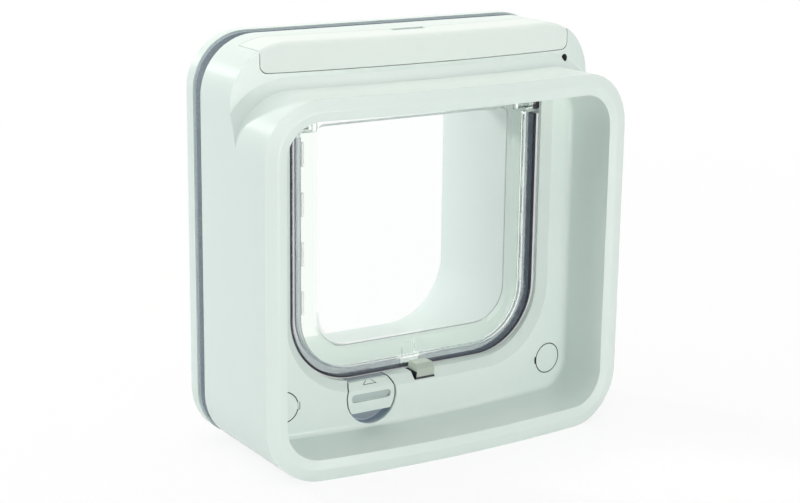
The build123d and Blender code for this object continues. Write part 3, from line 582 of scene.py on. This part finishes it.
# %% Make the dark lens
LENS_BLACK, LENS_DUST = (0.006, 0.006, 0.007), (0.016, 0.015, 0.017)
lens_dark, tree, shader = new_material("smoked lens", {"IOR": 1.5, "Specular IOR Level": 0.15})
swirl = object_noise(tree, 700.0, 3.0)
dusty = mix_colour(tree, spread(tree, swirl, 0.0, 1.0), LENS_BLACK, LENS_DUST)
feed(tree, shader, {"Base Color": dusty, "Roughness": spread(tree, swirl, 0.05, 0.14)})
print("dark plastic:", lens_dark.name)

# %% [markdown]
# ## Metals
# Pins, screws, plunger and contacts are zinc-plated or nickel-plated steel. The plating gives them a warm
# or cold cast, and the drawing streaks come from the shared group.

# %% Make the metals
STREAK_STRENGTH = 0.3


def metal(name, colour, streak, depth):
    """A plated metal with drawing streaks."""
    material, tree, shader = new_material(name, {"Metallic": 1.0})
    skin = use_group(tree, metal_skin, {"Color": colour, "Streak": streak})
    lay_skin(tree, shader, skin, depth, STREAK_STRENGTH)
    return material


zinc = metal("zinc plate", (0.62, 0.63, 0.65), (0.52, 0.54, 0.58), 6e-6)
nickel = metal("nickel plate", (0.66, 0.62, 0.56), (0.58, 0.54, 0.48), 5e-6)
pin_steel = metal("pin steel", (0.56, 0.57, 0.58), (0.46, 0.47, 0.49), 4e-6)
print("metals:", ", ".join(plated.name for plated in (zinc, nickel, pin_steel)))

# %% [markdown]
# ## Windings
# The reader's aerial and the latch's coil are both wound from enamelled copper wire. The turns lie side by
# side, so a band pattern across the winding gives the relief of each wire's round back, and its colour
# change is painted shade in the grooves between wires. Thousands of real turns would cost far more than
# they show.

# %% Make the windings
WIRE_RELIEF = 0.3


def winding(name, across, pitch, wire, groove):
    """Enamelled wire laid side by side across an axis, with one wire per pitch in metres."""
    material, tree, shader = new_material(name, {"Metallic": 0.7, "Coat Weight": 0.5})
    turns = calculate(tree, "DIVIDE", object_place(tree)[across], pitch)
    wave = calculate(tree, "SINE", calculate(tree, "MULTIPLY", turns, math.pi))
    back = calculate(tree, "ABSOLUTE", wave)
    looks = {
        "Base Color": mix_colour(tree, spread(tree, back, 0.0, 1.0, 0.1, 0.7), groove, wire),
        "Roughness": spread(tree, object_noise(tree, 500.0), 0.22, 0.36),
        "Normal": relief(tree, back, WIRE_RELIEF * pitch),
    }
    feed(tree, shader, looks)
    return material


# The second colour of each winding is painted shade between its turns.
aerial_copper = winding("aerial winding", "Y", 0.5 * MM, (0.70, 0.30, 0.13), (0.16, 0.05, 0.02))
coil_copper = winding("coil winding", "Z", 0.4 * MM, (0.66, 0.26, 0.12), (0.14, 0.04, 0.02))
print("windings:", aerial_copper.name, "and", coil_copper.name)

# %% [markdown]
# ## Circuit board
# The board is green solder resist over copper tracks, which show as paler lines and stand a little proud.
# A brick grid on object coordinates, turned to lie in the board, gives lines that run square to its edges.

# %% Make the board
TRACK_SCALE, TRACK_RELIEF = 260.0, 30e-6
RESIST_DARK, RESIST_LIGHT, TRACK_GREEN = (0.012, 0.085, 0.035), (0.015, 0.10, 0.042), (0.035, 0.20, 0.075)
board_green, tree, shader = new_material("board green", {"IOR": 1.5, "Coat Weight": 0.4})
place = add(tree, "ShaderNodeTexCoord").outputs["Object"]
flat = add(tree, "ShaderNodeMapping", {"Vector": place, "Rotation": (math.radians(90), 0.0, 0.0)})
track_grid = {
    "Vector": flat.outputs["Vector"],
    "Scale": TRACK_SCALE,
    "Mortar Size": 0.06,
    "Mortar Smooth": 0.2,
    "Color1": RESIST_DARK,
    "Color2": RESIST_LIGHT,
    "Mortar": TRACK_GREEN,
}
tracks = add(tree, "ShaderNodeTexBrick", track_grid)
board_looks = {
    "Base Color": tracks.outputs["Color"],
    "Roughness": spread(tree, object_noise(tree, 350.0), 0.25, 0.40),
    "Normal": relief(tree, tracks.outputs["Fac"], TRACK_RELIEF),
}
feed(tree, shader, board_looks)
print("board:", board_green.name)

# %% [markdown]
# ## Cells
# The cells have a dark sleeve with a bright band at one end and bare steel at both. All four lie the same
# way along X, so one pattern on the share of the cell's length serves them all, and none needs a material
# of its own.

# %% Make the sleeves of the cells
CELL_PITCH, CELL_END_GAP = 50.9 * MM, 0.1 * MM
BAND_FROM, STEEL_FROM, STEEL_TO, BAND_METAL = 0.74, 0.962, 0.012, 0.6
SLEEVE_DARK, BAND_COPPER, BARE_STEEL = (0.02, 0.021, 0.024), (0.55, 0.33, 0.10), (0.60, 0.60, 0.60)
cell_sleeve, tree, shader = new_material("cell sleeve", {"Coat Weight": 0.3})
first_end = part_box("battery_cells")[0].x - CELL_END_GAP
along = calculate(tree, "SUBTRACT", object_place(tree)["X"], first_end)
along = calculate(tree, "FRACT", calculate(tree, "DIVIDE", along, CELL_PITCH))
band = calculate(tree, "GREATER_THAN", along, BAND_FROM)
far_end = calculate(tree, "GREATER_THAN", along, STEEL_FROM)
near_end = calculate(tree, "LESS_THAN", along, STEEL_TO)
bare = calculate(tree, "MAXIMUM", far_end, near_end)
sleeve = mix_colour(tree, band, SLEEVE_DARK, BAND_COPPER)
cell_looks = {
    "Base Color": mix_colour(tree, bare, sleeve, BARE_STEEL),
    "Metallic": calculate(tree, "MAXIMUM", bare, calculate(tree, "MULTIPLY", band, BAND_METAL)),
    "Roughness": spread(tree, object_noise(tree, 300.0), 0.24, 0.38),
}
feed(tree, shader, cell_looks)
print("cells:", cell_sleeve.name, "every", round(CELL_PITCH / MM, 1), "mm")

# %% [markdown]
# ## Foam and pile
# The foam strip in the door gap has open pores, which a cell pattern gives in relief, with painted shade in
# the pores. The fibres of the seal are black with a dusty cast that changes from tuft to tuft. Both are
# rough and hardly shine.

# %% Make the foam and the pile
PORE_SCALE, PORE_DEPTH, PORE_STRENGTH = 1500.0, 0.25 * MM, 0.8
TUFT_SCALE, TUFT_DEPTH = 1200.0, 40e-6
# The darker colour of the pores is painted shade.
PORE_SHADE, FOAM_PALE = (0.37, 0.42, 0.50), (0.55, 0.60, 0.67)
FIBRE_BLACK, FIBRE_DUST = (0.026, 0.030, 0.040), (0.090, 0.102, 0.125)
foam_grey, tree, shader = new_material("foam grey", {"Roughness": 0.9})
place = add(tree, "ShaderNodeTexCoord").outputs["Object"]
pores = add(tree, "ShaderNodeTexVoronoi", {"Vector": place, "Scale": PORE_SCALE}).outputs["Distance"]
porous = mix_colour(tree, spread(tree, pores, 0.0, 1.0, 0.1, 0.6), PORE_SHADE, FOAM_PALE)
feed(tree, shader, {"Base Color": porous, "Normal": relief(tree, pores, PORE_DEPTH, PORE_STRENGTH)})

pile_black, tree, shader = new_material("pile fibre", {"Roughness": 0.62})
tuft = object_noise(tree, TUFT_SCALE)
dusty = mix_colour(tree, spread(tree, tuft, 0.0, 1.0), FIBRE_BLACK, FIBRE_DUST)
feed(tree, shader, {"Base Color": dusty, "Normal": relief(tree, tuft, TUFT_DEPTH)})
print("seals:", foam_grey.name, "and", pile_black.name)

# %% [markdown]
# ## Put the finishes on the solids
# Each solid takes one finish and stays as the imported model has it. Single faces could take finishes of
# their own, but the masks inside the materials already tell them apart, and a mask needs no list of faces.

# %% Assign the finishes
finishes = {
    housing_white: ("front_housing",),
    shell_white: ("rear_frame",),
    cap_white: ("screw_covers",),
    cover_white: ("battery_cover",),
    tunnel_white: ("tunnel",),
    dial_white: ("lock_dial",),
    latch_green: ("latch",),
    cam_grey: ("lock_cam",),
    bush_black: ("hinge_bushes",),
    tray_black: ("battery_tray",),
    chip_black: ("board_chips",),
    button_grey: ("learn_button",),
    flap_clear: ("flap_panel",),
    edging_smoke: ("flap_edging",),
    lens_dark: ("status_lens",),
    pin_steel: ("hinge_pins", "latch_plunger"),
    zinc: ("clamp_screws", "housing_screws", "board_screws", "cam_screw"),
    nickel: ("battery_contacts",),
    aerial_copper: ("antenna_coil",),
    coil_copper: ("latch_solenoid",),
    board_green: ("control_board",),
    cell_sleeve: ("battery_cells",),
    foam_grey: ("frame_seal",),
    pile_black: ("opening_seal",),
}
for finish, names in finishes.items():
    for name in names:
        nodes[name].data.materials.clear()
        nodes[name].data.materials.append(finish)
print("finished", sum(len(names) for names in finishes.values()), "solids with", len(finishes), "materials")

# %% [markdown]
# ## Copies on a grid
# Screws and clips repeat in rows and columns. A Geometry Nodes tree takes one of them, lays out a grid of
# points, and puts a copy on each. The pitch is an input, so the same tree serves every set. Copying the
# mesh by hand would work too, but a wrong pitch would then have to be mended piece by piece.

# %% Build the tree that repeats a piece
def close_tree(tree, instances, material, end):
    """End a tree with real copies that carry their material."""
    real = add(tree, "GeometryNodeRealizeInstances", {"Geometry": instances}).outputs["Geometry"]
    paint = add(tree, "GeometryNodeSetMaterial", {"Geometry": real, "Material": material})
    feed(tree, end, {"Geometry": paint.outputs["Geometry"]})


grid_inputs = {
    "Geometry": "Geometry",
    "Columns": "Int",
    "Rows": "Int",
    "Across": "Float",
    "Up": "Float",
    "Centre": "Vector",
    "Material": "Material",
}
grid_tree, start, end = open_group(
    "GeometryNodeTree", "copies on a grid", grid_inputs, {"Geometry": "Geometry"}
)
given = start.outputs
grid_extent = {
    "Size X": given["Across"],
    "Size Y": given["Up"],
    "Vertices X": given["Columns"],
    "Vertices Y": given["Rows"],
}
upright = {
    "Geometry": add(grid_tree, "GeometryNodeMeshGrid", grid_extent).outputs["Mesh"],
    "Translation": given["Centre"],
    "Rotation": (math.radians(90), 0.0, 0.0),
}
points = add(grid_tree, "GeometryNodeTransform", upright).outputs["Geometry"]
copies = add(grid_tree, "GeometryNodeInstanceOnPoints", {"Points": points, "Instance": given["Geometry"]})
close_tree(grid_tree, copies.outputs["Instances"], given["Material"], end)
print("tree", grid_tree.name, "with", len(grid_tree.nodes), "nodes")

# %% [markdown]
# A tree only works while its modifier is there, and a copy that isn't a real mesh would be lost when the
# model leaves Blender. So the next helper runs a tree once, keeps the result as a plain mesh and drops the
# modifier. The two after it shade a finished piece and hand it to the body that carries it.

# %% Helpers that run a tree and hand over a piece
def grow(name, mesh, tree, values):
    """Run a Geometry Nodes tree on a mesh and return a plain object with the result."""
    seed_object = bpy.data.objects.new(name + " seed", mesh)
    scene.collection.objects.link(seed_object)
    modifier = seed_object.modifiers.new("grow", "NODES")
    modifier.node_group = tree
    for item in tree.interface.items_tree:
        if item.in_out == "INPUT" and item.name in values:
            modifier[item.identifier] = values[item.name]
    ready = seed_object.evaluated_get(bpy.context.evaluated_depsgraph_get())
    result = bpy.data.objects.new(name, bpy.data.meshes.new_from_object(ready))
    result.data.name = name
    scene.collection.objects.link(result)
    bpy.data.objects.remove(seed_object)
    bpy.data.meshes.remove(mesh)
    return result


def smooth_by_angle(piece, degrees=35.0, weld=1e-7):
    """Shade a piece smooth, with creases where its faces meet at more than an angle."""
    body = bmesh.new()
    body.from_mesh(piece.data)
    bmesh.ops.remove_doubles(body, verts=body.verts, dist=weld)
    for face in body.faces:
        face.smooth = True
    for edge in body.edges:
        edge.smooth = len(edge.link_faces) == 2 and edge.calc_face_angle(0.0) < math.radians(degrees)
    body.to_mesh(piece.data)
    body.free()


def hand_over(piece, body, slot, *replaced):
    """Let a finished piece ride its body and stand in for solids where it replaces them."""
    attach(piece, body)
    if replaced:
        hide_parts(*replaced)
    print(piece.name, len(piece.data.polygons), "faces on", body)


# %% [markdown]
# ## Screws
# The solids have plain shanks. Real screws in plastic have a coarse rolled thread, a domed pan head and a
# cross recess. One grid of points round the axis makes the shank: its radius rises and falls with the
# height less the turn, which winds the ridge into a true helix. A bump map could fake the thread, but its
# outline would stay smooth where the screw crosses the door gap.

# %% Shape one screw
THREAD_PITCH, AROUND, STEPS_PER_TURN = 1.4 * MM, 24, 6
RIDGE_SHARE, TIP_STEPS, TIP_BLUNT = 0.12, 14, 2
DOME_STEPS, HEAD_WALL, CROWN_LEAST = 7, 0.35, 0.02


def mesh_from(body, name):
    """Turn a bmesh into a plain mesh and free it."""
    mesh = bpy.data.meshes.new(name)
    body.to_mesh(mesh)
    body.free()
    return mesh


def ring_mesh(rings):
    """Skin a list of rings of points with quads and close both ends."""
    body = bmesh.new()
    rows = [[body.verts.new(point) for point in ring] for ring in rings]
    for low, high in zip(rows, rows[1:]):
        for index in range(len(low)):
            following = (index + 1) % len(low)
            body.faces.new((low[index], low[following], high[following], high[index]))
    body.faces.new(list(reversed(rows[0])))
    body.faces.new(rows[-1])
    bmesh.ops.recalc_face_normals(body, faces=body.faces)
    return body


def head_rings(head_radius, head_height):
    """Radius and height along the domed head, from its crown to its seat."""
    rings = []
    for step in range(DOME_STEPS + 1):
        lean = math.radians(90) * step / DOME_STEPS
        radius = max(head_radius * math.sin(lean), CROWN_LEAST * head_radius)
        height = head_height * (HEAD_WALL + (1.0 - HEAD_WALL) * math.cos(lean))
        rings.append([(radius, height)] * AROUND)
    rings.append([(head_radius, 0.0)] * AROUND)
    return rings


def shank_rings(shank_radius, length):
    """Radius and height round the threaded shank, from the seat to a blunt tip."""
    rings = []
    ridge = RIDGE_SHARE * shank_radius
    steps = STEPS_PER_TURN * round(length / THREAD_PITCH)
    for step in range(steps + 1):
        depth = -length * step / steps
        taper = min(1.0, (steps - step + TIP_BLUNT) / TIP_STEPS)
        ring = []
        for index in range(AROUND):
            wave = math.cos(2 * math.pi * (depth / THREAD_PITCH - index / AROUND))
            ring.append((taper * (shank_radius - ridge + ridge * wave), depth))
        rings.append(ring)
    return rings


def screw_mesh(name, head_radius, head_height, shank_radius, length, head_side):
    """A pan-head screw with its head's seat at the origin and its shank away from head_side along Y."""
    turns = [2 * math.pi * index / AROUND for index in range(AROUND)]
    rings = []
    for ring in head_rings(head_radius, head_height) + shank_rings(shank_radius, length):
        rings.append(
            [
                (radius * math.cos(turn), head_side * height, radius * math.sin(turn))
                for turn, (radius, height) in zip(turns, ring)
            ]
        )
    return mesh_from(ring_mesh(rings), name)


# %% [markdown]
# The head is turned from a profile, and the cross is cut out of it with two tapered arms. A Boolean
# modifier does the cutting, because the arms meet the dome along a curve that is hard to model by hand.

# %% Cut the cross and repeat the screw
CROSS_REACH, CROSS_WIDTH = 0.62, 0.2
CROSS_FLOOR, CROSS_MOUTH = 0.3, 1.2
FLOOR_SHARE, ARM_LEAST = 0.45, 0.8


def cross_mesh(reach, width, head_height, head_side):
    """The tapered cross that the driver fits in, as a solid to cut with."""
    cutter = bmesh.new()
    for across, tall in ((reach, width), (width, reach)):
        loops = []
        for level, share in ((CROSS_FLOOR, FLOOR_SHARE), (CROSS_MOUTH, 1.0)):
            height = head_side * level * head_height
            half_x = max(share * across, ARM_LEAST * width)
            half_z = max(share * tall, ARM_LEAST * width)
            corners = ((-half_x, -half_z), (half_x, -half_z), (half_x, half_z), (-half_x, half_z))
            loops.append([(x, height, z) for x, z in corners])
        arm = mesh_from(ring_mesh(loops), "cross arm")
        cutter.from_mesh(arm)
        bpy.data.meshes.remove(arm)
    return mesh_from(cutter, "cross")


def cut(mesh, tool_mesh):
    """Cut one mesh out of another; both are used up."""
    blank = bpy.data.objects.new("blank", mesh)
    tool = bpy.data.objects.new("tool", tool_mesh)
    scene.collection.objects.link(tool)
    scene.collection.objects.link(blank)
    recess = blank.modifiers.new("recess", "BOOLEAN")
    recess.object = tool
    recess.use_self = True
    ready = blank.evaluated_get(bpy.context.evaluated_depsgraph_get())
    result = bpy.data.meshes.new_from_object(ready)
    for leftover in (blank, tool):
        bpy.data.objects.remove(leftover)
    for leftover in (mesh, tool_mesh):
        bpy.data.meshes.remove(leftover)
    return result


def screw_set(node, columns, rows, head_radius, head_height, shank_radius, head_side):
    """Replace a set of solid screws by threaded ones at the same places."""
    low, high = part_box(node)
    seat = (high.y - head_height) if head_side > 0 else (low.y + head_height)
    length = high.y - low.y - head_height
    blank = screw_mesh(node + " one", head_radius, head_height, shank_radius, length, head_side)
    cross = cross_mesh(CROSS_REACH * head_radius, CROSS_WIDTH * head_radius, head_height, head_side)
    values = {
        "Columns": columns,
        "Rows": rows,
        "Across": high.x - low.x - 2 * head_radius,
        "Up": high.z - low.z - 2 * head_radius,
        "Centre": ((low.x + high.x) / 2, seat, (low.z + high.z) / 2),
        "Material": zinc,
    }
    piece = grow("threaded_" + node, cut(blank, cross), grid_tree, values)
    smooth_by_angle(piece)
    hand_over(piece, "housing", node, node)


screw_set("clamp_screws", 2, 2, 3.8 * MM, 2.6 * MM, 2.0 * MM, -1)
screw_set("housing_screws", 2, 3, 3.0 * MM, 1.6 * MM, 1.5 * MM, 1)

# %% [markdown]
# ## Clips of the flap's edging
# Along both sides of the flap, clear tabs in the border grip the soft edging. They show as short bright
# outlines, because their rounded edges bend the light. One tab is a rounded bar with a rolled front edge,
# and the same grid repeats it. Drawn as lines in the material they would vanish at a glancing view.

# %% Build the edging clips
CLIP_WIDTH, CLIP_LENGTH, CLIP_THICK, CLIP_ROLL = 1.5 * MM, 12.5 * MM, 0.7 * MM, 0.35 * MM
CLIP_PITCH, CLIP_ROWS, CLIP_LOW = 25.0 * MM, 4, 78.5 * MM
CLIP_INSET, CLIP_SEAT, CLIP_TURNS, ROLL_SHARE = 5.4 * MM, 0.5 * MM, 8, 0.3


def rounded_bar(name, width, length, thick, roll):
    """A bar with half-round ends and a rolled front edge, its back on the plane Y = 0."""
    shoulder = (ROLL_SHARE * roll, thick - ROLL_SHARE * roll)
    reach = length / 2 - width / 2
    rings = []
    for inset, front in ((0.0, 0.0), (0.0, thick - roll), shoulder, (roll, thick)):
        ring = []
        radius = width / 2 - inset
        for centre, begin in ((reach, 0.0), (-reach, 180.0)):
            for step in range(CLIP_TURNS + 1):
                angle = math.radians(begin + 180.0 * step / CLIP_TURNS)
                ring.append((radius * math.cos(angle), -front, centre + radius * math.sin(angle)))
        rings.append(ring)
    return mesh_from(ring_mesh(rings), name)


clip_up = CLIP_PITCH * (CLIP_ROWS - 1)
clips = grow(
    "edging_clips",
    rounded_bar("clip", CLIP_WIDTH, CLIP_LENGTH, CLIP_THICK, CLIP_ROLL),
    grid_tree,
    {
        "Columns": 2,
        "Rows": CLIP_ROWS,
        "Across": 2 * (edging_high.x - CLIP_INSET),
        "Up": clip_up,
        "Centre": (0.0, edging_low.y + CLIP_SEAT, CLIP_LOW + clip_up / 2),
        "Material": clip_milk,
    },
)
smooth_by_angle(clips)
hand_over(clips, "flap", "flap_panel")

# %% [markdown]
# ## Brush seal
# The strip round the opening is a brush seal: a backing with rows of short stiff fibres that close the gap
# beside the flap. The solid only takes up its room, and here the fibres are real. Both backing and fibres
# follow the doorway, so the first step is a rule that gives a point on its outline. A curve object could
# do that too, but the seal needs two outlines, root and tip, that keep step with each other.

# %% Lay out the doorway
SEAL_CORNER, FLAP_CORNER = 35.95 * MM, 34.5 * MM
SEAL_SPLAY, TIP_GAP, FIBRE_PITCH = 1.3 * MM, 0.12 * MM, 0.32 * MM
seal_low, seal_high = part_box("opening_seal")
seal_front = seal_low.y - SEAL_SPLAY
flap_reach = edging_high.x + TIP_GAP
flap_floor = edging_low.z - TIP_GAP


def doorway(half, low, high, corner, share):
    """A point on a doorway, with a share from 0 to 3: left side, bottom with its corners, right side."""
    if share <= 1.0:
        return Vector((-half, 0.0, high + (low + corner - high) * share))
    if share >= 2.0:
        return Vector((half, 0.0, low + corner + (high - low - corner) * (share - 2.0)))
    arc = math.pi / 2 * corner
    floor = 2 * (half - corner)
    run = (share - 1.0) * (2 * arc + floor)
    if arc <= run <= arc + floor:
        return Vector((-half + corner + run - arc, 0.0, low))
    if run < arc:
        centre = -half + corner
        angle = math.pi + run / corner
    else:
        centre = half - corner
        angle = 1.5 * math.pi + (run - arc - floor) / corner
    return Vector((centre + corner * math.cos(angle), 0.0, low + corner + corner * math.sin(angle)))


def seal_line(share):
    """Root and tip of the seal's section at a share of the way round."""
    root = doorway(seal_high.x, seal_low.z, seal_high.z, SEAL_CORNER, share)
    tip = doorway(flap_reach, flap_floor, seal_high.z, FLAP_CORNER, share)
    return root, tip


stretches = (seal_high.z - seal_low.z, 2 * seal_high.x, seal_high.z - seal_low.z)
shares = []
for index, run in enumerate(stretches):
    count = round(run / FIBRE_PITCH)
    shares += [index + step / count for step in range(count)]
print("doorway with", len(shares), "fibres in a row")

# %% [markdown]
# The backing is the strip that holds the fibres. It has a plain rectangular section, swept round the
# doorway and closed at both ends.

# %% Build the backing
BACKING_SHARE, SECTION_STEP, DOORWAY_END = 0.55, 4, 3.0
sections = []
for share in shares[::SECTION_STEP] + [DOORWAY_END]:
    root, tip = seal_line(share)
    foot = root.lerp(tip, BACKING_SHARE)
    corners = ((root, seal_front), (foot, seal_front), (foot, seal_high.y), (root, seal_high.y))
    sections.append([(point.x, y, point.z) for point, y in corners])
backing = ring_mesh(sections)
print("backing with", len(backing.faces), "faces")

# %% [markdown]
# Python lays out one root point per fibre, with the way each fibre points kept as an attribute. Every
# other row is shifted by half a step, as the bundles of a real brush are.

# %% Lay out the roots of the fibres
FIBRE_ROWS, ROOT_SHARE = 9, 0.50
places, ways = [], []
depth = seal_high.y - seal_front
for row in range(FIBRE_ROWS):
    y = seal_front + depth * (row + 0.5) / FIBRE_ROWS
    for share in shares:
        root, tip = seal_line(share + (row % 2) * 0.5 / len(shares))
        foot = root.lerp(tip, ROOT_SHARE)
        places.append((foot.x, y, foot.z))
        ways.append(tip - foot)
roots = bpy.data.meshes.new("fibre roots")
roots.from_pydata(places, [], [])
way = roots.attributes.new("way", "FLOAT_VECTOR", "POINT")
way.data.foreach_set("vector", [part for vector in ways for part in vector])
print(len(places), "roots in", FIBRE_ROWS, "rows")

# %% [markdown]
# A Geometry Nodes tree then stands a blunt cone on each root, and a fixed seed varies its lean and length.
# A hair system would be quicker to set up, but it would not leave a plain mesh.

# %% Plant the fibres
FIBRE_RADIUS, FIBRE_TAPER, FIBRE_SIDES, FIBRE_SEED = 0.14 * MM, 0.75, 4, 7
FIBRE_LEAN, FIBRE_LEAST = 0.25 * MM, 0.90
fibre_tree, start, end = open_group(
    "GeometryNodeTree",
    "fibres on roots",
    {"Geometry": "Geometry", "Radius": "Float", "Seed": "Int", "Material": "Material"},
    {"Geometry": "Geometry"},
)
given = start.outputs
cone = {"Vertices": FIBRE_SIDES, "Depth": 1.0, "Radius Top": FIBRE_TAPER}
fibre = add(fibre_tree, "GeometryNodeMeshCone", cone)
kept_way = add(fibre_tree, "GeometryNodeInputNamedAttribute", {"Name": "way"}, data_type="FLOAT_VECTOR")
direction = kept_way.outputs["Attribute"]
lean_range = {0: (-FIBRE_LEAN,) * 3, 1: (FIBRE_LEAN,) * 3, "Seed": given["Seed"]}
lean = add(fibre_tree, "FunctionNodeRandomValue", lean_range, data_type="FLOAT_VECTOR").outputs[0]
leaning = add(fibre_tree, "ShaderNodeVectorMath", {0: direction, 1: lean}, operation="ADD")
turned = add(fibre_tree, "FunctionNodeAlignEulerToVector", {"Vector": leaning.outputs["Vector"]}, axis="Z")
length_range = {2: FIBRE_LEAST, 3: 1.0, "Seed": given["Seed"]}
share = add(fibre_tree, "FunctionNodeRandomValue", length_range, data_type="FLOAT").outputs[1]
reach = add(fibre_tree, "ShaderNodeVectorMath", {0: direction}, operation="LENGTH").outputs["Value"]
long = calculate(fibre_tree, "MULTIPLY", reach, share)
size = add(fibre_tree, "ShaderNodeCombineXYZ", {"X": given["Radius"], "Y": given["Radius"], "Z": long})
planting = {
    "Points": given["Geometry"],
    "Instance": fibre.outputs["Mesh"],
    "Rotation": turned.outputs["Rotation"],
    "Scale": size.outputs["Vector"],
}
stand = add(fibre_tree, "GeometryNodeInstanceOnPoints", planting)
close_tree(fibre_tree, stand.outputs["Instances"], given["Material"], end)

fibre_values = {"Radius": FIBRE_RADIUS, "Seed": FIBRE_SEED, "Material": pile_black}
seal = grow("brush_seal", roots, fibre_tree, fibre_values)
backing.from_mesh(seal.data)
backing.to_mesh(seal.data)
backing.free()
hand_over(seal, "housing", "opening_seal", "opening_seal")

# %% [markdown]
# ## Camera
# The photograph was taken with a long lens from the front left, a little above the object and slightly
# tilted. The turn, rise and tilt were found from the hood's corners and the frame's edges.

# %% Set up the camera
TURN, RISE, TILT = math.radians(-32.22), math.radians(14.57), math.radians(0.73)
EYE = (-0.4864, -0.78022, 0.33027)
LENS, SENSOR, FARTHEST = 81.88, 36.0, 50.0
back = Vector((math.sin(TURN) * math.cos(RISE), -math.cos(TURN) * math.cos(RISE), math.sin(RISE)))
right = Vector((math.cos(TURN), math.sin(TURN), 0.0))
up = back.cross(right)
tilted_right = right * math.cos(TILT) + up * math.sin(TILT)
tilted_up = up * math.cos(TILT) - right * math.sin(TILT)
camera_data = bpy.data.cameras.new("camera")
camera_data.lens = LENS
camera_data.sensor_width = SENSOR
camera_data.clip_end = FARTHEST
camera = bpy.data.objects.new("camera", camera_data)
axes = Matrix((tilted_right, tilted_up, back)).transposed().to_4x4()
camera.matrix_world = Matrix.Translation(EYE) @ axes
scene.collection.objects.link(camera)
scene.camera = camera
scene.view_settings.view_transform = "Standard"
print("camera with a lens of", LENS, "mm")

# %% [markdown]
# ## Studio
# The photograph shows the object cut out on white, lit by large soft boxes: one low in front, one from the
# left, one above, and a smaller one behind that shines into the tunnel and throws the roof's shadow on its
# right wall. The rear box is small and strong, so its mirror image would burn the ledge out to white from
# some sides; it lights the object without showing in it, and a weaker lamp in the same place gives the
# rounded corners their highlights.

# %% Set up the lamps
WARM, WARMER, COOL = (1.0, 0.97, 0.93), (1.0, 0.945, 0.89), (0.88, 1.0, 0.98)
MIDDLE, WITHOUT_HIGHLIGHT = (0.0, 0.0, 0.1), "rear box"
REAR = ((-0.75, 1.6, 0.78), (0.05, 0.0, 0.12), (0.14, 0.14))
LAMPS = {
    "front box": ((0.1, -2.2, 0.12), MIDDLE, (0.9, 0.24), 19.0, WARM),
    "left box": ((-2.2, 0.35, 0.45), MIDDLE, (1.2, 1.2), 8.0, COOL),
    "top box": ((0.0, 0.2, 2.0), MIDDLE, (2.6, 2.6), 42.0, WARMER),
    "rear box": (*REAR, 13.5, WARM),
    "glint lamp": (*REAR, 2.0, WARM),
}
for name, (place, aim, extent, power, tint) in LAMPS.items():
    light = bpy.data.lights.new(name, "AREA")
    light.shape = "RECTANGLE"
    light.size, light.size_y = extent
    light.energy = power
    light.color = tint
    lamp = bpy.data.objects.new(name, light)
    lamp.location = place
    lamp.rotation_euler = (Vector(aim) - Vector(place)).to_track_quat("-Z", "Y").to_euler()
    lamp.visible_glossy = name != WITHOUT_HIGHLIGHT
    scene.collection.objects.link(lamp)
print(len(LAMPS), "lamps")

# %% [markdown]
# The surroundings read as white to the camera, in mirrors and through the clear flap, while the light that
# falls from them on the object is a weak cool fill. A white world that lights as it looks would wash out
# all shade.

# %% Light the surroundings
FILL, FILL_COLOUR, SEEN_WHITE = 0.20, (0.66, 0.86, 1.0), (1.0, 1.0, 1.0)


def seen_directly(tree):
    """A socket that is 1 for camera, mirror and clear rays and 0 for the light that falls on things."""
    path = add(tree, "ShaderNodeLightPath")
    seen = calculate(tree, "MAXIMUM", path.outputs["Is Camera Ray"], path.outputs["Is Glossy Ray"])
    return calculate(tree, "MAXIMUM", seen, path.outputs["Is Transmission Ray"])


world = bpy.data.worlds.new("studio")
scene.world = world
world.use_nodes = True
tree = world.node_tree
seen = seen_directly(tree)
surroundings = {
    "Color": mix_colour(tree, seen, FILL_COLOUR, SEEN_WHITE),
    "Strength": spread(tree, seen, FILL, 1.0, 0.0, 1.0),
}
feed(tree, tree.nodes["Background"], surroundings)
print("fill light of", FILL)

# %% [markdown]
# The floor reads as white in the same way, but it keeps a faint shadow near the object, so that the object
# stands on it. The shadow fades with the distance, and the floor runs into the white surroundings unseen.

# %% Lay the floor
FLOOR_REACH, FLOOR_ROUGHNESS, FLOOR_COLOUR = 6.0, 0.9, (0.86, 0.87, 0.87)
GLOW_NEAR, GLOW_FAR, FADE_FROM, FADE_TO = 0.88, 1.0, 0.2, 0.9
floor_looks = {"Base Color": FLOOR_COLOUR, "Roughness": FLOOR_ROUGHNESS}
floor_white, tree, shader = new_material("floor white", floor_looks)
glow = add(tree, "ShaderNodeEmission", {"Color": SEEN_WHITE, "Strength": 1.0})
place = add(tree, "ShaderNodeTexCoord").outputs["Object"]
away = add(tree, "ShaderNodeVectorMath", {0: place}, operation="LENGTH").outputs["Value"]
fade = spread(tree, away, GLOW_NEAR, GLOW_FAR, FADE_FROM, FADE_TO)
glowing = calculate(tree, "MULTIPLY", seen_directly(tree), fade)
show_either(tree, glowing, shader.outputs["BSDF"], glow.outputs["Emission"])

floor_corners = [(x * FLOOR_REACH, y * FLOOR_REACH, 0.0) for x, y in ((-1, -1), (1, -1), (1, 1), (-1, 1))]
floor_mesh = bpy.data.meshes.new("floor")
floor_mesh.from_pydata(floor_corners, [], [(0, 1, 2, 3)])
floor_mesh.materials.append(floor_white)
floor = bpy.data.objects.new("floor", floor_mesh)
scene.collection.objects.link(floor)
floor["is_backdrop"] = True
print("floor", 2 * FLOOR_REACH, "m wide")

# %% [markdown]
# ## Sizes
# The dressed object has to keep the size of the solids, so both boxes are written down and compared.

# %% Compare the sizes and finish
visual_box = [list(corner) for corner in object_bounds()]
growth = []
for cad_corner, visual_corner in zip(cad_box, visual_box):
    growth += [round((abs(new) - abs(old)) / MM, 3) for old, new in zip(cad_corner, visual_corner)]
print("grew by", growth, "mm")
